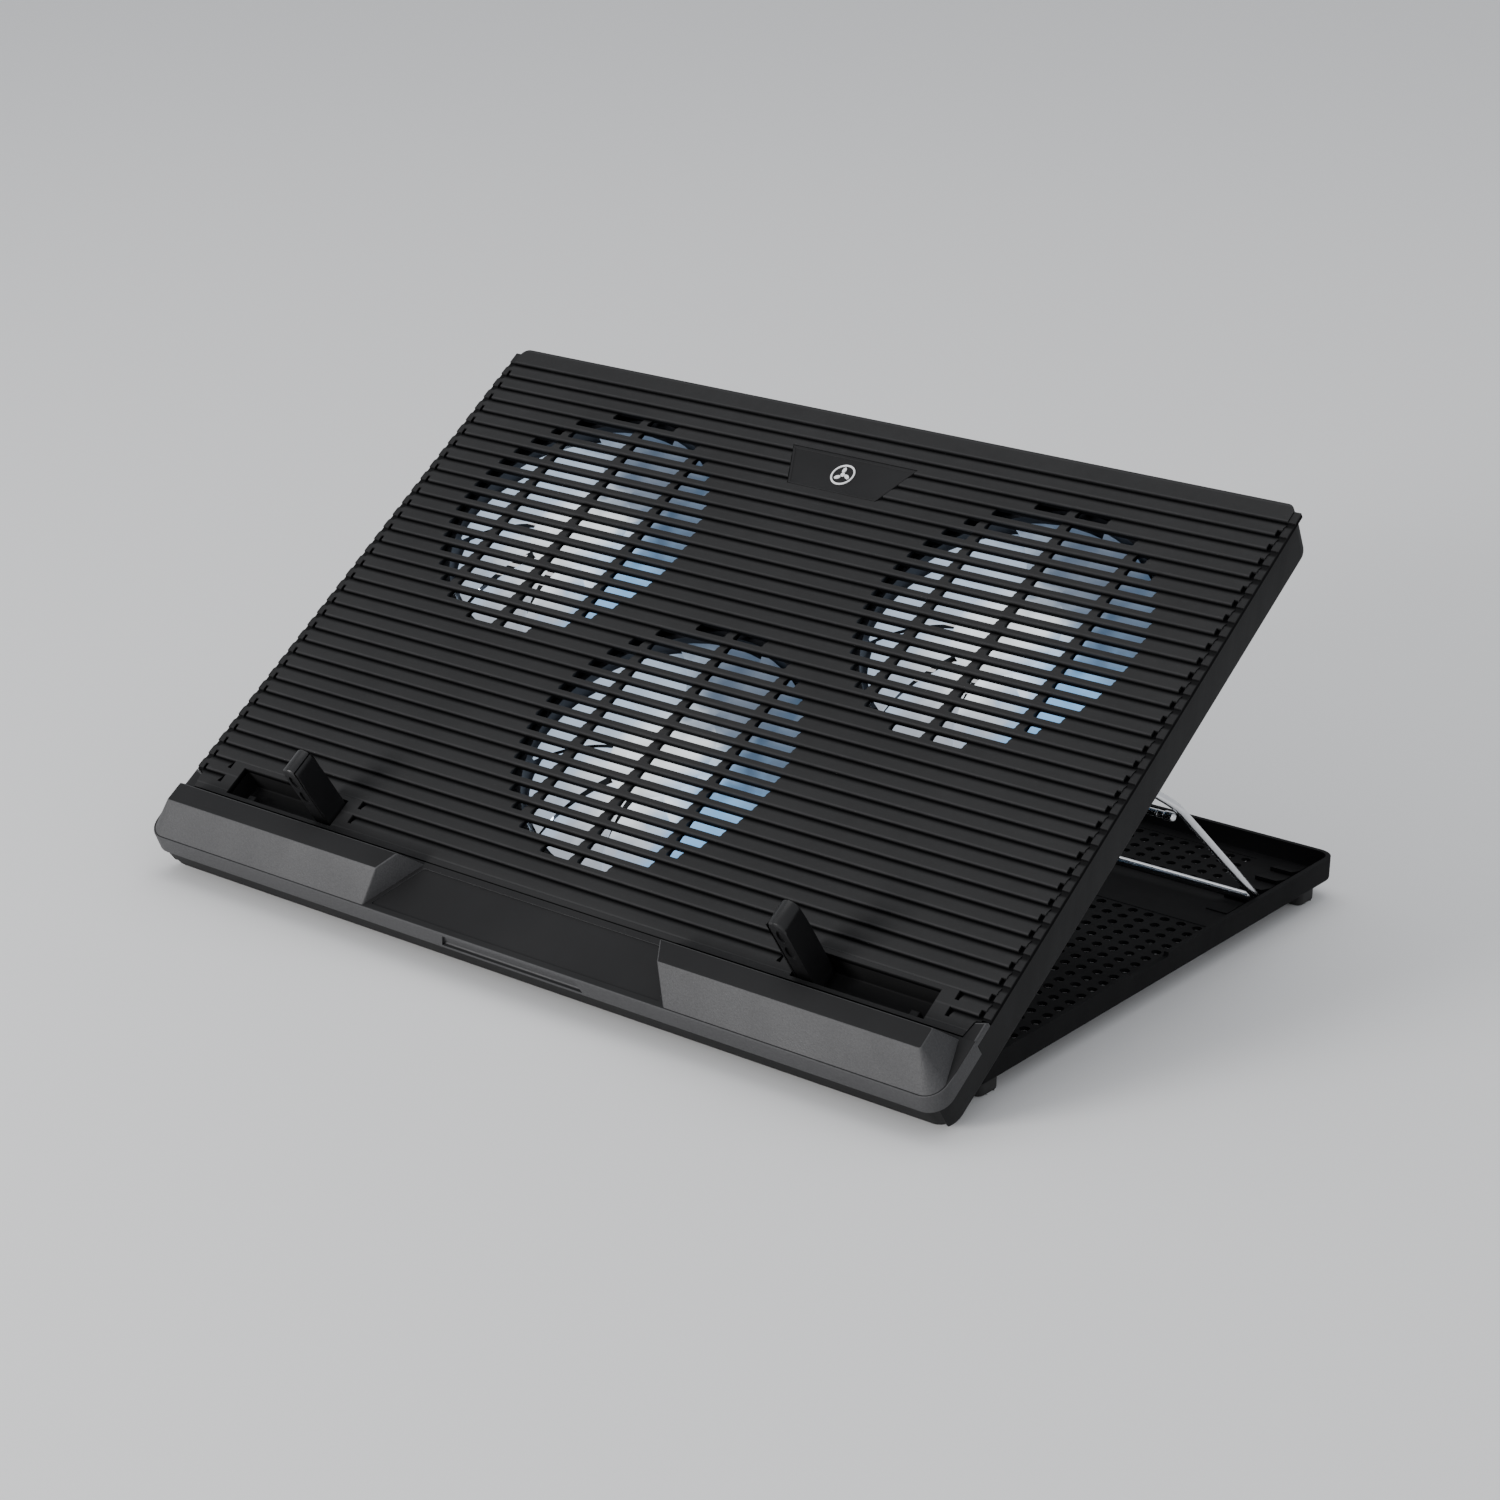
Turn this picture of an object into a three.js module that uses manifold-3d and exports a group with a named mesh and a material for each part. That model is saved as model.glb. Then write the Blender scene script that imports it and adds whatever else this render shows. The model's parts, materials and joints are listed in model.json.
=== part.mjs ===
// Laptop cooling pad: a ribbed deck with three fans, hinged at the front on a low base tray and
// propped at the rear by a bent wire. Millimetres, +Z up, front towards -Y, standing on Z = 0.
import * as THREE from "three";
import { mergeVertices } from "three/addons/utils/BufferGeometryUtils.js";
import Module from "manifold-3d";

const wasm = await Module();
wasm.setup();

// ---------------------------------------------------------------- driving sizes
const gap = 0.3; // between pieces that touch
const rad = Math.PI / 180;

const tilt = 35; // degrees, deck above the table, wire in its front notch

// Base tray. Its Y is measured from the hinge axis.
const tray = {
  sideInset: 6.5,
  front: -8,
  rearOverhang: 5,
  cornerRadius: 8,
  bottom: 8,
  height: 10.5,
  wall: 2.2,
  floor: 2,
};
const foot = { width: 15, length: 13, insetX: 4, insetY: 10, radius: 3 };
const vent = { length: 22, width: 6, pitchX: 34, pitchY: 22, sideMargin: 16.5, rowsFront: 7, rowsRear: 2 };
const rack = { width: 10, inset: 12, toothPitch: 13, teeth: 4, toothHeight: 2.3, bedHeight: 0.5, lead: 3, land: 4 };

// Hinge between tray and deck, and the deck's own sizes. Deck Y is measured from the front face,
// deck Z from the underside.
const hinge = { setback: 33.7, drop: 5, pinRadius: 1.5, earRadius: 3.8, lugWidth: 14, earWidth: 6, sideInset: 54 };
const restGap = 0.7; // deck underside above the tray rim when folded flat
const deck = { halfWidth: 204, depth: 296, height: 22, wall: 2.4, floor: 2.2, cornerRadius: 9, chamfer: 3.75 };
const topPlate = { thickness: 2.8, inset: 0.4, cornerRadius: 6 };

// Louvres across the deck, counted from the rear.
const louvre = { pitch: 7.5, rearRib: 8.75, depth: 1.6, run: 3.4, shortRows: 2 };
const slot = { width: 4.8, lead: 0.2, fieldLead: 1.5, fieldInset: 3, barOffset: 35.3, barWidth: 4 };
const sideFanInset = 92.5; // centre of a side fan from the side of the deck
const fans = [
  { name: "left", x: sideFanInset - deck.halfWidth, row: 10 },
  { name: "right", x: deck.halfWidth - sideFanInset, row: 10 },
  { name: "centre", x: 0, row: 23 },
];
const fan = {
  frameRadius: 65.5,
  ringWall: 3.2,
  height: 12,
  hubRadius: 20,
  hubWall: 2,
  statorRadius: 14,
  shaftRadius: 1.5,
  blades: 9,
  bladeClearance: 2,
  bladeThickness: 1.3,
};
const grille = { inset: 10.5, pitch: 12, width: 7 };

// Front moulding with its two wedge bars.
const trim = { depth: 29.3, height: 8, lean: 1.35, wall: 2 };
const bar = {
  height: 12,
  innerRear: 63,
  innerFront: 78.4,
  outerFront: 0.5, // outer end, as distances in from the side of the deck
  outerRear: 6,
  topOuter: 11.2,
  topInnerRear: 67.8,
  topInnerFront: 72.6,
  topRadius: 1,
  topFront: 13.9,
  topRear: 23.3,
  footRear: 28.7,
};
const recess = { topHalf: 34.2, bottomHalf: 36.5, rise: 5.6, depth: 1.9, edge: 1.2 };
const panel = { front: 4.2, rear: 26, halfFront: 72, halfRear: 60, depth: 0.5 };

const badge = { rear: 274, front: 254, halfRear: 32.2, halfFront: 22.8, thickness: 2, emblemRadius: 6 };

// Flip-up stops and the pockets they fold into.
const well = { sideInset: 24, length: 61, front: 31.5, rear: 45.3, wall: 1.6, post: 7 };
const stop = { length: 42, thickness: 8.5, knuckleExtra: 0.45, sideGap: 1.1, endGap: 0.8, pinRadius: 1.2, axisDepth: 8.2 };

// Bent wire prop: its pivot under the deck and its crossbar in the tray, both from the hinge axis.
const wire = {
  radius: 1.75,
  pivotSetback: 139,
  pivotDrop: 3.1,
  barSetback: 207.5,
  barRise: 1,
  wallGap: 0.55,
  shoulderIn: 22,
  endLength: 11,
  shoulderRise: 27,
  bend: 6,
};
const brace = { radius: 1.5, headRadius: 1.9, headLength: 3 };
const block = { past: 4, bendGap: 6, half: 5, below: 3 };

// Electrics at the middle of the rear wall.
const board = { halfWidth: 34, depth: 29, thickness: 1.6, above: 1.8 };
const usb = { width: 14.4, height: 6.6, length: 17.4, wall: 1, xs: [-22, 2] };
const rocker = { x: 25, width: 14, height: 8.1, length: 14.7, wall: 1.4, tilt: 8 };
const screw = { headRadius: 3.2, headHeight: 1.4, shaftRadius: 1.2, length: 6, insetX: 14, rowYs: [62, 150, deck.depth - 11] };

// ---------------------------------------------------------------- derived places
const trayHalf = deck.halfWidth - tray.sideInset;
const trayRear = deck.depth - hinge.setback + tray.rearOverhang;
const hingeX = deck.halfWidth - hinge.sideInset;
const legX = trayHalf - tray.wall - wire.wallGap - wire.radius;
const shoulderX = legX - wire.shoulderIn;
const wireEndX = shoulderX - wire.endLength;
const blockInner = wireEndX - block.past;
const blockOuter = shoulderX - block.bendGap;
const wellOuter = deck.halfWidth - well.sideInset;
const wellInner = wellOuter - well.length;
const knuckleRadius = stop.thickness / 2 + stop.knuckleExtra;
const wellDepth = stop.axisDepth + knuckleRadius + gap;
const bladeRadius = fan.frameRadius - fan.ringWall - fan.bladeClearance;
const fieldRadius = fan.frameRadius - slot.fieldInset;
const grilleRadius = fan.frameRadius - grille.inset;
const slotRows = Math.floor(fieldRadius / louvre.pitch);
const louvreCount = Math.floor((deck.depth - louvre.rearRib - trim.depth) / louvre.pitch);
const rimZ = tray.bottom + tray.height;
const floorZ = tray.bottom + tray.floor;
const hingeZ = rimZ + restGap - hinge.drop;
const plateBottom = deck.height - topPlate.thickness;
const panTop = plateBottom - gap;
const trimBottom = deck.height - trim.height;
const louvreY = (i) => deck.depth - louvre.rearRib - louvre.pitch * i;
const fanY = (f) => louvreY(f.row) - slot.fieldLead;
const pivotLift = hinge.drop - wire.pivotDrop;
const pivotPlace = {
  y: wire.pivotSetback * Math.cos(tilt * rad) - pivotLift * Math.sin(tilt * rad),
  z: wire.pivotSetback * Math.sin(tilt * rad) + pivotLift * Math.cos(tilt * rad),
};
const wireLength = Math.hypot(wire.barSetback - pivotPlace.y, wire.barRise - pivotPlace.z);
const wireAngle = Math.atan2(wire.barRise - pivotPlace.z, wire.barSetback - pivotPlace.y) - tilt * rad;

// ---------------------------------------------------------------- solids
const solidOf = (geometry) => {
  const bare = new THREE.BufferGeometry();
  const source = geometry.index ? geometry.toNonIndexed() : geometry;
  bare.setAttribute("position", source.getAttribute("position"));
  const merged = mergeVertices(bare, 1e-4);
  return new wasm.Manifold(
    new wasm.Mesh({
      numProp: 3,
      vertProperties: merged.attributes.position.array,
      triVerts: new Uint32Array(merged.index.array),
    }),
  );
};
const geometryOf = (solid) => {
  const mesh = solid.getMesh();
  const points = new Float32Array(mesh.numVert * 3);
  for (let i = 0; i < mesh.numVert; i++)
    points.set(mesh.vertProperties.subarray(i * mesh.numProp, i * mesh.numProp + 3), i * 3);
  const indexed = new THREE.BufferGeometry();
  indexed.setAttribute("position", new THREE.BufferAttribute(points, 3));
  indexed.setIndex(new THREE.BufferAttribute(new Uint32Array(mesh.triVerts), 1));
  const flat = indexed.toNonIndexed();
  flat.computeVertexNormals();
  return flat;
};
const join = (...solids) => solids.reduce((a, b) => a.add(b));
const cut = (body, ...tools) => tools.reduce((a, b) => a.subtract(b), body);

const box = (x0, x1, y0, y1, z0, z1) =>
  solidOf(
    new THREE.BoxGeometry(x1 - x0, y1 - y0, z1 - z0).translate((x0 + x1) / 2, (y0 + y1) / 2, (z0 + z1) / 2),
  );
const outline = (points) => new THREE.Shape(points.map(([a, b]) => new THREE.Vector2(a, b)));
const extruded = (shape, depth, segments = 6) =>
  new THREE.ExtrudeGeometry(shape, { depth, bevelEnabled: false, curveSegments: segments });
// A [y, z] outline drawn out along X, an [x, z] outline along Y, and an [x, y] outline along Z.
const alongX = (points, x0, x1) => {
  const turn = new THREE.Matrix4().set(0, 0, 1, x0, 1, 0, 0, 0, 0, 1, 0, 0, 0, 0, 0, 1);
  return solidOf(extruded(outline(points), x1 - x0).applyMatrix4(turn));
};
const alongY = (shape, y0, y1) =>
  solidOf(extruded(shape, y1 - y0, 8).rotateX(Math.PI / 2).translate(0, y1, 0));
const alongZ = (points, z0, z1) => solidOf(extruded(outline(points), z1 - z0).translate(0, 0, z0));
const rodZ = (radius, z0, z1, x = 0, y = 0, sides = 20) =>
  solidOf(
    new THREE.CylinderGeometry(radius, radius, z1 - z0, sides).rotateX(Math.PI / 2).translate(x, y, (z0 + z1) / 2),
  );
const rodX = (radius, x0, x1, y, z, sides = 16) =>
  solidOf(
    new THREE.CylinderGeometry(radius, radius, x1 - x0, sides).rotateZ(Math.PI / 2).translate((x0 + x1) / 2, y, z),
  );
const rodY = (radius, y0, y1, x, z, sides = 16) =>
  solidOf(new THREE.CylinderGeometry(radius, radius, y1 - y0, sides).translate(x, (y0 + y1) / 2, z));

// A closed skin through rings of equally many points, lowest ring first, each ring convex.
const skin = (rings) => {
  const n = rings[0].length;
  const points = rings.flat();
  const faces = [];
  for (let r = 0; r + 1 < rings.length; r++)
    for (let i = 0; i < n; i++) {
      const a = r * n + i;
      const b = r * n + ((i + 1) % n);
      faces.push(a, b, b + n, a, b + n, a + n);
    }
  const last = (rings.length - 1) * n;
  for (let i = 1; i + 1 < n; i++) faces.push(0, i + 1, i, last, last + i, last + i + 1);
  const geometry = new THREE.BufferGeometry();
  geometry.setAttribute("position", new THREE.Float32BufferAttribute(points.flat(), 3));
  geometry.setIndex(faces);
  return solidOf(geometry);
};
// A rounded rectangle as a ring at height z, corners of five points.
const roundedRing = (halfX, y0, y1, radius, z) => {
  const steps = 4;
  const centres = [
    [halfX - radius, y1 - radius, 0],
    [-halfX + radius, y1 - radius, 90],
    [-halfX + radius, y0 + radius, 180],
    [halfX - radius, y0 + radius, 270],
  ];
  return centres.flatMap(([x, y, from]) =>
    Array.from({ length: steps + 1 }, (_, k) => {
      const a = (from + (90 * k) / steps) * rad;
      return [x + radius * Math.cos(a), y + radius * Math.sin(a), z];
    }),
  );
};
const slab = (halfX, y0, y1, radius, z0, z1) =>
  skin([roundedRing(halfX, y0, y1, radius, z0), roundedRing(halfX, y0, y1, radius, z1)]);

// ---------------------------------------------------------------- scene graph
const finish = {
  shell: { color: 0x141416, roughness: 0.6, metalness: 0 },
  trim: { color: 0x2b2b2e, roughness: 0.75, metalness: 0 },
  rubber: { color: 0x0c0c0c, roughness: 0.9, metalness: 0 },
  steel: { color: 0xc9ccd0, roughness: 0.2, metalness: 1 },
  rotor: { color: 0xdfeaf5, roughness: 0.3, metalness: 0 },
  sign: { color: 0xf0f0f0, roughness: 0.4, metalness: 0 },
  board: { color: 0x14502c, roughness: 0.5, metalness: 0 },
};
const addMesh = (group, name, solid, look) => {
  const mesh = new THREE.Mesh(geometryOf(solid), new THREE.MeshStandardMaterial(finish[look]));
  mesh.name = name;
  group.add(mesh);
  return mesh;
};

const pad = new THREE.Group();
const base = new THREE.Group();
const deckPivot = new THREE.Group();
deckPivot.position.set(0, 0, hingeZ);
deckPivot.rotation.x = tilt * rad;
const deckFrame = new THREE.Group();
deckFrame.position.set(0, -hinge.setback, hinge.drop);
deckPivot.add(deckFrame);
pad.add(base, deckPivot);

const sides = [
  { name: "left", s: -1 },
  { name: "right", s: 1 },
];
// Boxes and outlines given on the right side, mirrored to the other side by s.
const sideBox = (s, x0, x1, y0, y1, z0, z1) => (s > 0 ? box(x0, x1, y0, y1, z0, z1) : box(-x1, -x0, y0, y1, z0, z1));
const sideRodX = (s, radius, x0, x1, y, z, n) =>
  s > 0 ? rodX(radius, x0, x1, y, z, n) : rodX(radius, -x1, -x0, y, z, n);

// ---------------------------------------------------------------- base tray
function makeTray() {
  const outer = slab(trayHalf, tray.front, trayRear, tray.cornerRadius, tray.bottom, rimZ);
  const inner = slab(
    trayHalf - tray.wall,
    tray.front + tray.wall,
    trayRear - tray.wall,
    tray.cornerRadius - tray.wall,
    floorZ,
    rimZ + 1,
  );
  // The front rim is sloped back so that the raised deck clears it.
  const slope = Math.tan(tilt * rad);
  const clearAtHinge = hingeZ + hinge.drop / Math.cos(tilt * rad) - 1;
  const far = tray.front - 20;
  const frontSlope = alongX(
    [
      [far, clearAtHinge + far * slope],
      [0, clearAtHinge],
      [0, rimZ + 5],
      [far, rimZ + 5],
    ],
    -trayHalf - 1,
    trayHalf + 1,
  );
  let body = cut(outer, inner, frontSlope);
  // Racks: a low strip along each side wall with saw teeth for the wire's crossbar.
  for (const { s } of sides) {
    const x1 = trayHalf - rack.inset;
    const profile = [[wire.barSetback - 12, floorZ - 0.5]];
    profile.push([wire.barSetback - 12, floorZ + rack.bedHeight]);
    for (let k = 0; k < rack.teeth; k++) {
      const y = wire.barSetback + rack.lead + k * rack.toothPitch;
      profile.push([y, floorZ + rack.bedHeight], [y, floorZ + rack.toothHeight]);
      profile.push([y + rack.land, floorZ + rack.toothHeight]);
    }
    const endY = wire.barSetback + rack.lead + rack.teeth * rack.toothPitch;
    profile.push([endY, floorZ + rack.bedHeight], [endY, floorZ - 0.5]);
    const strip = alongX(profile, x1 - rack.width, x1);
    body = join(body, s > 0 ? strip : strip.mirror([1, 0, 0]));
  }
  // Ears on both sides of each deck lug, bored for the pin.
  for (const { s } of sides)
    for (const side of [-1, 1]) {
      const near = hinge.lugWidth / 2 + gap * 2;
      const [a, b] = side > 0 ? [near, near + hinge.earWidth] : [-near - hinge.earWidth, -near];
      const ear = join(
        sideRodX(s, hinge.earRadius, hingeX + a, hingeX + b, 0, hingeZ, 20),
        sideBox(s, hingeX + a, hingeX + b, -hinge.earRadius, hinge.earRadius, floorZ - 0.5, hingeZ),
      );
      body = join(body, ear);
    }
  for (const { s } of sides)
    body = cut(
      body,
      sideRodX(
        s,
        hinge.pinRadius + gap,
        hingeX - hinge.lugWidth,
        hingeX + hinge.lugWidth,
        0,
        hingeZ,
      ),
    );
  // Air openings through the floor, in two fields with a plain band for the crossbar between.
  const hole = (x, y) =>
    box(x - vent.length / 2, x + vent.length / 2, y - vent.width / 2, y + vent.width / 2, tray.bottom - 1, floorZ + 1);
  const ventColumns = 2 * Math.floor((trayHalf - vent.sideMargin - vent.length / 2) / vent.pitchX) + 1;
  const field = (firstY, rows) => {
    for (let r = 0; r < rows; r++) {
      const columns = ventColumns - (r % 2);
      for (let c = 0; c < columns; c++)
        body = cut(body, hole((c - (columns - 1) / 2) * vent.pitchX, firstY + r * vent.pitchY));
    }
  };
  field(wire.barSetback - 30 - (vent.rowsFront - 1) * vent.pitchY, vent.rowsFront);
  field(wire.barSetback + 20, vent.rowsRear);
  return body;
}
addMesh(base, "base_tray", makeTray(), "shell");

for (const { name, s } of sides)
  for (const [end, y0] of [
    ["front", tray.front + foot.insetY],
    ["rear", trayRear - foot.insetY - foot.length],
  ]) {
    const x0 = s * (trayHalf - foot.insetX - foot.width / 2);
    const solid = skin([
      roundedRing(foot.width / 2 - 0.8, y0 + 0.8, y0 + foot.length - 0.8, foot.radius - 0.8, 0),
      roundedRing(foot.width / 2, y0, y0 + foot.length, foot.radius, 1.2),
      roundedRing(foot.width / 2, y0, y0 + foot.length, foot.radius, tray.bottom - gap),
    ]);
    addMesh(base, `base_foot_${end}_${name}`, solid, "rubber").position.x = x0;
  }
for (const { name, s } of sides) {
  const half = hinge.lugWidth / 2 + 2 * gap + hinge.earWidth;
  addMesh(
    base,
    `hinge_pin_${name}`,
    sideRodX(s, hinge.pinRadius, hingeX - half, hingeX + half, 0, hingeZ, 12),
    "steel",
  );
}

// ---------------------------------------------------------------- deck shells
const rearY = deck.depth;
const wallIn = deck.wall;
const socketWindow = (x, width, height) => {
  const z0 = deck.floor + board.above + board.thickness + gap;
  return box(
    x - width / 2 - gap,
    x + width / 2 + gap,
    rearY - deck.wall - 1,
    rearY + 1,
    z0 - gap,
    z0 + height + gap,
  );
};
const screwPlaces = sides.flatMap(({ s }) => screw.rowYs.map((y) => [s * (deck.halfWidth - screw.insetX), y]));

function makeDeckBottom() {
  const c = deck.chamfer;
  const outer = skin([
    roundedRing(deck.halfWidth - c, c, rearY - c * 0.6, deck.cornerRadius, 0),
    roundedRing(deck.halfWidth - 0.8, 0, rearY - 0.6, deck.cornerRadius, 4),
    roundedRing(deck.halfWidth, 0, rearY, deck.cornerRadius, panTop),
  ]);
  const inner = slab(
    deck.halfWidth - deck.wall - 1.2,
    wallIn + 1.2,
    rearY - deck.wall,
    deck.cornerRadius - deck.wall,
    deck.floor,
    panTop + 1,
  );
  // The walls drop at the front, where the front moulding sits on them.
  const step = box(
    -deck.halfWidth - 1,
    deck.halfWidth + 1,
    -1,
    trim.depth + gap,
    trimBottom - gap,
    panTop + 1,
  );
  let body = cut(outer, inner, step);
  for (const f of fans) {
    const half = Math.floor(grilleRadius / grille.pitch);
    for (let k = -half; k <= half; k++) {
      const y = fanY(f) + k * grille.pitch;
      const reach = Math.abs(k * grille.pitch) + grille.width / 2;
      const chord = Math.sqrt(Math.max(grilleRadius ** 2 - reach ** 2, 0));
      if (chord < grille.width) continue;
      body = cut(body, box(f.x - chord, f.x + chord, y - grille.width / 2, y + grille.width / 2, -1, deck.floor + 1));
    }
  }
  // Hinge lugs reach down into the tray.
  const axisY = hinge.setback;
  for (const { s } of sides) {
    const x0 = hingeX - hinge.lugWidth / 2;
    const x1 = hingeX + hinge.lugWidth / 2;
    body = join(
      body,
      sideBox(s, x0, x1, axisY - hinge.earRadius, axisY + hinge.earRadius, -hinge.drop, deck.floor / 2),
      sideRodX(s, hinge.earRadius, x0, x1, axisY, -hinge.drop, 20),
    );
    body = cut(body, sideRodX(s, hinge.pinRadius + gap, x0 - 1, x1 + 1, axisY, -hinge.drop));
  }
  for (const [x, y] of screwPlaces)
    body = cut(
      body,
      rodZ(screw.headRadius + gap, -1, screw.headHeight + gap, x, y, 12),
      rodZ(screw.shaftRadius + gap, 0, deck.floor + 1, x, y, 10),
    );
  for (const x of usb.xs) body = cut(body, socketWindow(x, usb.width, usb.height));
  return cut(body, socketWindow(rocker.x, rocker.width, rocker.height));
}
addMesh(deckFrame, "deck_bottom", makeDeckBottom(), "shell");

const badgeOutline = (grow) => [
  [-badge.halfFront - grow, badge.front - grow],
  [badge.halfFront + grow, badge.front - grow],
  [badge.halfRear + grow, badge.rear + grow],
  [-badge.halfRear - grow, badge.rear + grow],
];

function makeDeckTop() {
  const halfX = deck.halfWidth - topPlate.inset;
  let body = slab(halfX, trim.depth + 2 * gap, rearY, topPlate.cornerRadius, plateBottom, deck.height);
  // Each louvre is a straight drop with a ramp in front of it.
  const over = 0.5;
  const ramp = (louvre.run * (louvre.depth + over)) / louvre.depth;
  for (let i = 0; i < louvreCount; i++) {
    const y = louvreY(i);
    const profile = [
      [y, deck.height - louvre.depth],
      [y, deck.height + over],
      [y - ramp, deck.height + over],
    ];
    const spans =
      i < louvreCount - louvre.shortRows
        ? [[-halfX - 1, halfX + 1]]
        : [
            [-halfX - 1, -wellOuter - well.post],
            [-wellInner + well.post, wellInner - well.post],
            [wellOuter + well.post, halfX + 1],
          ];
    for (const [x0, x1] of spans) body = cut(body, alongX(profile, x0, x1));
  }
  // Slots of the three fan fields, broken by three bars each.
  for (const f of fans)
    for (let k = -slotRows; k <= slotRows; k++) {
      const chord = Math.sqrt(fieldRadius ** 2 - (k * louvre.pitch) ** 2);
      const y = louvreY(f.row + k) - slot.lead;
      const stops = [-chord];
      for (const at of [-slot.barOffset, 0, slot.barOffset])
        if (Math.abs(at) + slot.barWidth < chord) stops.push(at - slot.barWidth / 2, at + slot.barWidth / 2);
      stops.push(chord);
      for (let j = 0; j < stops.length; j += 2)
        body = cut(
          body,
          box(f.x + stops[j], f.x + stops[j + 1], y - slot.width, y, plateBottom - 1, deck.height + 1),
        );
    }
  for (const { s } of sides)
    body = cut(
      body,
      sideBox(s, wellInner, wellOuter, well.front, well.rear, plateBottom - 1, deck.height + 1),
    );
  return cut(body, alongZ(badgeOutline(gap), plateBottom - 1, deck.height + 1));
}
addMesh(deckFrame, "deck_top", makeDeckTop(), "shell");
addMesh(
  deckFrame,
  "badge_plate",
  alongZ(badgeOutline(0), deck.height - badge.thickness, deck.height),
  "shell",
);
const emblemRing = new THREE.Shape().absarc(0, 0, badge.emblemRadius, 0, 2 * Math.PI);
emblemRing.holes.push(new THREE.Path().absarc(0, 0, badge.emblemRadius * 0.6, 0, 2 * Math.PI, true));
addMesh(
  deckFrame,
  "badge_emblem",
  solidOf(
    extruded(emblemRing, 0.5, 10).translate(0, (badge.front + badge.rear) / 2, deck.height + gap),
  ),
  "sign",
);

// ---------------------------------------------------------------- front moulding
// A wedge bar, inset on every side and stretched down for its hollow. Its outer front corner is
// round: as wide as the deck's corner at the foot, nearly sharp at the top.
const wedge = (s, inset, down) => {
  const z0 = deck.height - down;
  const z1 = deck.height + bar.height - inset;
  const half = deck.halfWidth - inset;
  const corner = (x, y, radius) =>
    [0, 1, 2, 3, 4].map((k) => {
      const a = ((k / 4) * Math.PI) / 2;
      return [x - radius + radius * Math.sin(a), y + radius - radius * Math.cos(a)];
    });
  const foot = [
    [bar.innerFront + inset, trim.lean + inset],
    ...corner(half - bar.outerFront, trim.lean + inset, deck.cornerRadius - inset),
    [half - bar.outerRear, bar.footRear - inset],
    [bar.innerRear + inset, bar.footRear - inset],
  ];
  const top = [
    [bar.topInnerFront + inset, bar.topFront + inset * 0.4],
    ...corner(half - bar.topOuter, bar.topFront + inset * 0.4, bar.topRadius),
    [half - bar.topOuter, bar.topRear - inset],
    [bar.topInnerRear + inset, bar.topRear - inset],
  ];
  const lift = (ring, z) => ring.map(([x, y]) => [s * x, y, z]);
  const rings = down > 0 ? [lift(foot, z0), lift(foot, deck.height), lift(top, z1)] : [lift(foot, z0), lift(top, z1)];
  return skin(s > 0 ? rings : rings.map((ring) => ring.reverse()));
};
function makeTrim() {
  const halfX = deck.halfWidth;
  const r = deck.cornerRadius;
  const outer = skin([
    roundedRing(halfX, 0, trim.depth + r, r, trimBottom),
    roundedRing(halfX - 0.4, trim.lean, trim.depth + r, r, deck.height),
  ]);
  const hollow = slab(
    halfX - trim.wall,
    trim.lean + trim.wall,
    trim.depth + r,
    r - trim.wall,
    trimBottom - 1,
    deck.height - trim.wall,
  );
  const rearCut = box(-halfX - 1, halfX + 1, trim.depth, trim.depth + r + 1, trimBottom - 2, deck.height + 1);
  const backWall = box(
    -halfX + trim.wall / 2,
    halfX - trim.wall / 2,
    trim.depth - trim.wall,
    trim.depth,
    panTop,
    deck.height - 0.1,
  );
  let body = join(cut(outer, hollow, rearCut), backWall);
  for (const { s } of sides) body = join(body, wedge(s, 0, 0.5));
  for (const { s } of sides) body = cut(body, wedge(s, trim.wall, trim.wall + 0.5));
  const recessTop = deck.height - recess.edge;
  const recessShape = outline([
    [-recess.bottomHalf, recessTop - recess.rise],
    [recess.bottomHalf, recessTop - recess.rise],
    [recess.topHalf, recessTop],
    [-recess.topHalf, recessTop],
  ]);
  const panelCut = alongZ(
    [
      [-panel.halfFront, panel.front],
      [panel.halfFront, panel.front],
      [panel.halfRear, panel.rear],
      [-panel.halfRear, panel.rear],
    ],
    deck.height - panel.depth,
    deck.height + 1,
  );
  return cut(body, alongY(recessShape, -1, recess.depth), panelCut);
}
addMesh(deckFrame, "front_trim", makeTrim(), "trim");

// ---------------------------------------------------------------- fans
const fanZ = deck.floor + gap;
function makeFrame() {
  const z1 = fanZ + fan.height;
  const ring = cut(
    rodZ(fan.frameRadius, fanZ, z1, 0, 0, 48),
    rodZ(fan.frameRadius - fan.ringWall, fanZ - 1, z1 + 1, 0, 0, 48),
  );
  const strutTop = fanZ + 1.8;
  const reach = fan.frameRadius - fan.ringWall / 2;
  const strutA = box(-reach, reach, -3, 3, fanZ, strutTop);
  const strutB = box(-3, 3, -reach, reach, fanZ, strutTop);
  const seat = rodZ(fan.hubRadius - 2, fanZ, strutTop, 0, 0, 24);
  const stator = rodZ(fan.statorRadius, fanZ, z1 - 3, 0, 0, 24);
  return cut(join(ring, strutA, strutB, seat, stator), rodZ(fan.shaftRadius + gap, fanZ + 0.8, z1, 0, 0, 10));
}
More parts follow.
